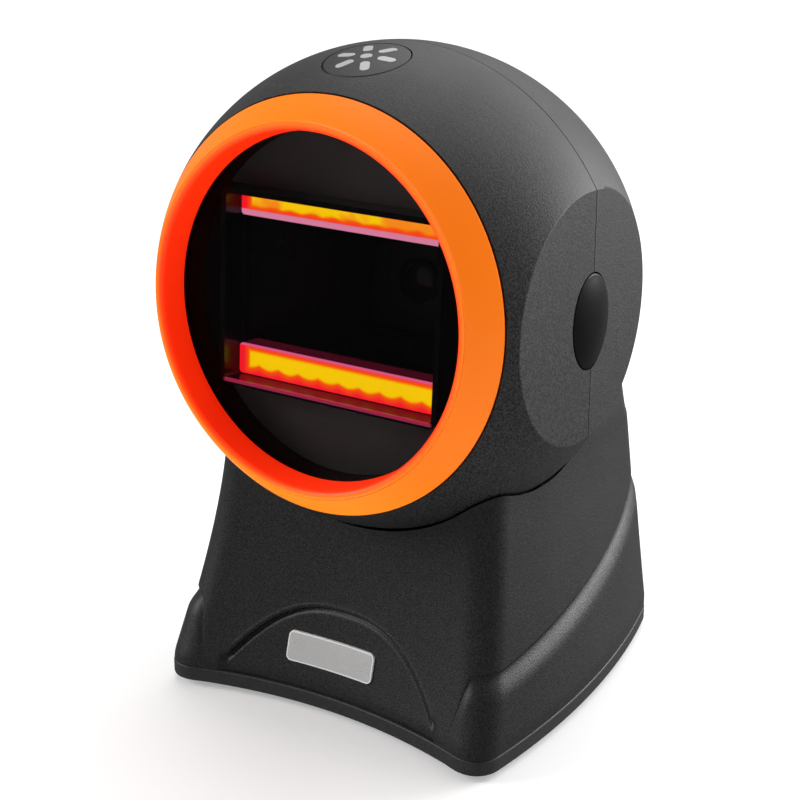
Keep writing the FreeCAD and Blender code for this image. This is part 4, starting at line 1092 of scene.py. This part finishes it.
class SCANNER_OT_inside(bpy.types.Operator):
    """Finishes of the frame's own parts, seen through the window or behind the covers"""
    bl_idname = "scanner.inside"
    bl_label = "Inner parts"

    def execute(self, context):
        nylon = (0.62, 0.60, 0.54, 1.0)
        looks = {
            "chassis_black": smooth_plastic("chassis black", (0.0012, 0.001, 0.001, 1.0), 0.25,
                                            Specular_IOR_Level=0.15),
            "mask_grey": mask_plastic("mask grey"),
            "circuit_board": circuit_board("circuit board", (0.006, 0.035, 0.015, 1.0)),
            "chip_black": smooth_plastic("chip black", grey(0.012), 0.45),
            "led_white": smooth_plastic("led epoxy", (0.75, 0.7, 0.55, 1.0), 0.25),
            "standoff_nylon": smooth_plastic("nylon", nylon, 0.5),
            "washer_nylon": smooth_plastic("washer nylon", nylon, 0.5),
            "steel": metal("plated steel", (0.55, 0.55, 0.56, 1.0), 0.3),
            "yoke_steel": metal("yoke steel", (0.42, 0.42, 0.43, 1.0), 0.38),
            "cast_weight": metal("cast weight", (0.12, 0.12, 0.125, 1.0), 0.65, 1.5 * MM),
            "socket_dark": smooth_plastic("socket nylon", grey(0.012), 0.35),
        }
        slots = {entry["node"]: entry["material_slot"] for entry in frame["record"]["subparts"]}
        for node, piece in frame["nodes"].items():
            look = looks.get(slots[node])
            if look and not piece.hide_render:
                paint(node, look)
        glass = Look("clear window", grey(0.002), 0.02, Alpha=0.38, Specular_IOR_Level=0.05)
        haze = glass.noise(0.01, 3.0, 0.5)
        glass.drive("Roughness", haze * 0.05 + 0.01)
        lens = Look("lens glass", (0.02, 0.02, 0.05, 1.0), 0.05, Coat_Weight=1.0)
        tint = lens.noise(0.002, 2.0, 0.5)
        lens.drive("Base Color", lens.mix(tint, (0.02, 0.01, 0.05, 1.0), (0.01, 0.03, 0.04, 1.0)))
        paint("window_pane", glass.material)
        paint("camera_lens", lens.material)
        return {"FINISHED"}


class SCANNER_OT_light_bars(bpy.types.Operator):
    """Lit diffusers behind the window mask"""
    bl_idname = "scanner.light_bars"
    bl_label = "Light bars"

    LAMP_PITCH = 5.2 * MM
    CORE_HALF_LENGTH = 23.7 * MM
    FRONT_DEPTH = 21.5 * MM
    DIM, WARM, ORANGE = (0.05, 0.002, 0.008, 1.0), (1.0, 0.10, 0.0, 1.0), (1.0, 0.27, 0.01, 1.0)

    def execute(self, context):
        self.upper()
        self.lower()
        return {"FINISHED"}

    def start(self, node):
        """A new look with its coordinates, a slow wobble and scallops that follow the lamps."""
        look = Look(node + " glow", (0.02, 0.002, 0.002, 1.0), 0.25, Emission_Strength=2.3)
        x, up, out = look.window_coordinates()
        wobble = look.noise(4 * MM, 2.0, 0.5) - 0.5
        scallop = (x * (math.pi / self.LAMP_PITCH)).math("SINE").size()
        return look, x, up, out, wobble, scallop

    def upper(self):
        look, x, up, out, wobble, scallop = self.start("upper_light_bar")
        top = (up - 19.7 * MM) * -1
        bottom = up - (16.7 * MM + scallop * 0.3 * MM) + wobble * 0.8 * MM
        patches = look.noise(6 * MM, 2.0, 0.5).step(0.42, 0.62)
        rim = (up - 15.1 * MM).size().step(1.4 * MM, 1.1 * MM)
        self.glow("upper_light_bar", look, x, out, wobble, top, bottom, patches, rim, (0.72, 0.22, 0.36, 1.0))

    def lower(self):
        look, x, up, out, wobble, scallop = self.start("lower_light_bar")
        top = (up + 13.7 * MM) * -1
        bottom = up + 18.1 * MM - (scallop * -0.7 + 0.7) * MM + wobble * 0.5 * MM
        rim = (up + 12.7 * MM).size().step(0.6 * MM, 0.3 * MM)
        self.glow("lower_light_bar", look, x, out, wobble, top, bottom, 1.0, rim, (0.75, 0.10, 0.26, 1.0))

    def glow(self, node, look, x, out, wobble, top, bottom, patches, rim, pink):
        """Lit diffuser: a bright core, a red surround, a pink rim and a dim top face."""
        end = self.CORE_HALF_LENGTH - x.size()
        core = top.math("MINIMUM", bottom).math("MINIMUM", end)
        surround = look.mix(core.step(-1.3 * MM, 0.5 * MM), finish("glow_edge"), self.WARM)
        hot = look.mix(patches, self.ORANGE, finish("glow_core"))
        lit = look.mix(core.step(0.0, 0.9 * MM), surround, hot)
        front = out.step(self.FRONT_DEPTH, self.FRONT_DEPTH + 0.35 * MM)
        look.drive("Emission Color", look.mix(front, self.DIM, look.mix(rim, lit, pink)))
        look.drive("Roughness", wobble * 0.1 + 0.25)
        paint(node, look.material)


# ---------------------------------------------------------------- stage
class SCANNER_OT_stage(bpy.types.Operator):
    """Pale floor, soft studio light and the camera"""
    bl_idname = "scanner.stage"
    bl_label = "Stage"

    def execute(self, context):
        scene = context.scene
        scene.view_settings.view_transform = "Standard"
        self.floor()
        self.world(scene)
        self.lamps()
        self.camera(scene)
        return {"FINISHED"}

    def floor(self):
        bm = bmesh.new()
        bmesh.ops.create_grid(bm, x_segments=8, y_segments=8, size=3.0)
        mesh = bpy.data.meshes.new("floor")
        bm.to_mesh(mesh)
        bm.free()
        floor = bpy.data.objects.new("floor", mesh)
        bpy.context.scene.collection.objects.link(floor)
        look = Look("paper", grey(0.72), 0.6, Emission_Color=grey(1.0), Emission_Strength=0.33)
        grain = look.noise(2 * MM, 3.0, 0.6)
        look.drive("Roughness", grain * 0.1 + 0.5)
        mesh.materials.append(look.material)
        floor.visible_glossy = False

    def world(self, scene):
        world = bpy.data.worlds.new("studio")
        world.use_nodes = True
        background = world.node_tree.nodes["Background"]
        background.inputs["Color"].default_value = grey(1.0)
        background.inputs["Strength"].default_value = 0.26
        scene.world = world

    def lamps(self):
        for name, place, size, power in (
                ("rear", (0.50, 0.80, 0.28), 0.5, 7.5),
                ("left", (-0.75, -0.55, 0.50), 0.5, 6.0)):
            light = bpy.data.lights.new(name, "AREA")
            light.shape = "DISK"
            light.size = size
            light.energy = power
            self.aim(name, light, place)
        sky = bpy.data.lights.new("overhead", "SUN")
        sky.energy = 2.7
        sky.angle = math.radians(80)
        self.aim("overhead", sky, (0.10, 0.72, 1.15))

    def aim(self, name, light, place):
        lamp = bpy.data.objects.new(name, light)
        bpy.context.scene.collection.objects.link(lamp)
        lamp.location = place
        way = Vector((0, 0, 0.08)) - Vector(place)
        lamp.rotation_euler = way.to_track_quat("-Z", "Y").to_euler()

    def camera(self, scene):
        data = bpy.data.cameras.new("camera")
        data.sensor_width = 36.0
        data.lens = 81.43
        camera = bpy.data.objects.new("camera", data)
        scene.collection.objects.link(camera)
        azimuth, elevation = math.radians(33.77), math.radians(19.45)
        right = Vector((math.cos(azimuth), math.sin(azimuth), 0))
        back = Vector((math.sin(azimuth) * math.cos(elevation), -math.cos(azimuth) * math.cos(elevation),
                       math.sin(elevation)))
        place = PIVOT + Vector((208.1, -311.2, 106.2)) * MM
        camera.matrix_world = axes_matrix(right, back.cross(right), back, place)
        scene.camera = camera


class SCANNER_PT_panel(bpy.types.Panel):
    """Lists the steps that build the scanner"""
    bl_label = "Desktop scanner"
    bl_idname = "SCANNER_PT_panel"
    bl_space_type = "VIEW_3D"
    bl_region_type = "UI"
    bl_category = "Scanner"

    def draw(self, context):
        for step in STEPS:
            self.layout.operator(step.bl_idname)


STEPS = (SCANNER_OT_stage, SCANNER_OT_head_shells, SCANNER_OT_ring, SCANNER_OT_badge, SCANNER_OT_caps,
         SCANNER_OT_stand, SCANNER_OT_base, SCANNER_OT_inside, SCANNER_OT_light_bars)
CLASSES = (HeadSizes, StandSizes, Finishes, ScannerSettings) + STEPS + (SCANNER_PT_panel,)


def register():
    for cls in CLASSES:
        bpy.utils.register_class(cls)
    bpy.types.Scene.scanner = PointerProperty(type=ScannerSettings)


def unregister():
    del bpy.types.Scene.scanner
    for cls in reversed(CLASSES):
        bpy.utils.unregister_class(cls)


def main():
    register()
    bpy.ops.scanner.stage()
    bpy.ops.scanner.head_shells()
    bpy.ops.scanner.ring()
    bpy.ops.scanner.badge()
    bpy.ops.scanner.caps()
    bpy.ops.scanner.stand()
    bpy.ops.scanner.base()
    bpy.ops.scanner.inside()
    bpy.ops.scanner.light_bars()


if __name__ == "__main__":
    main()
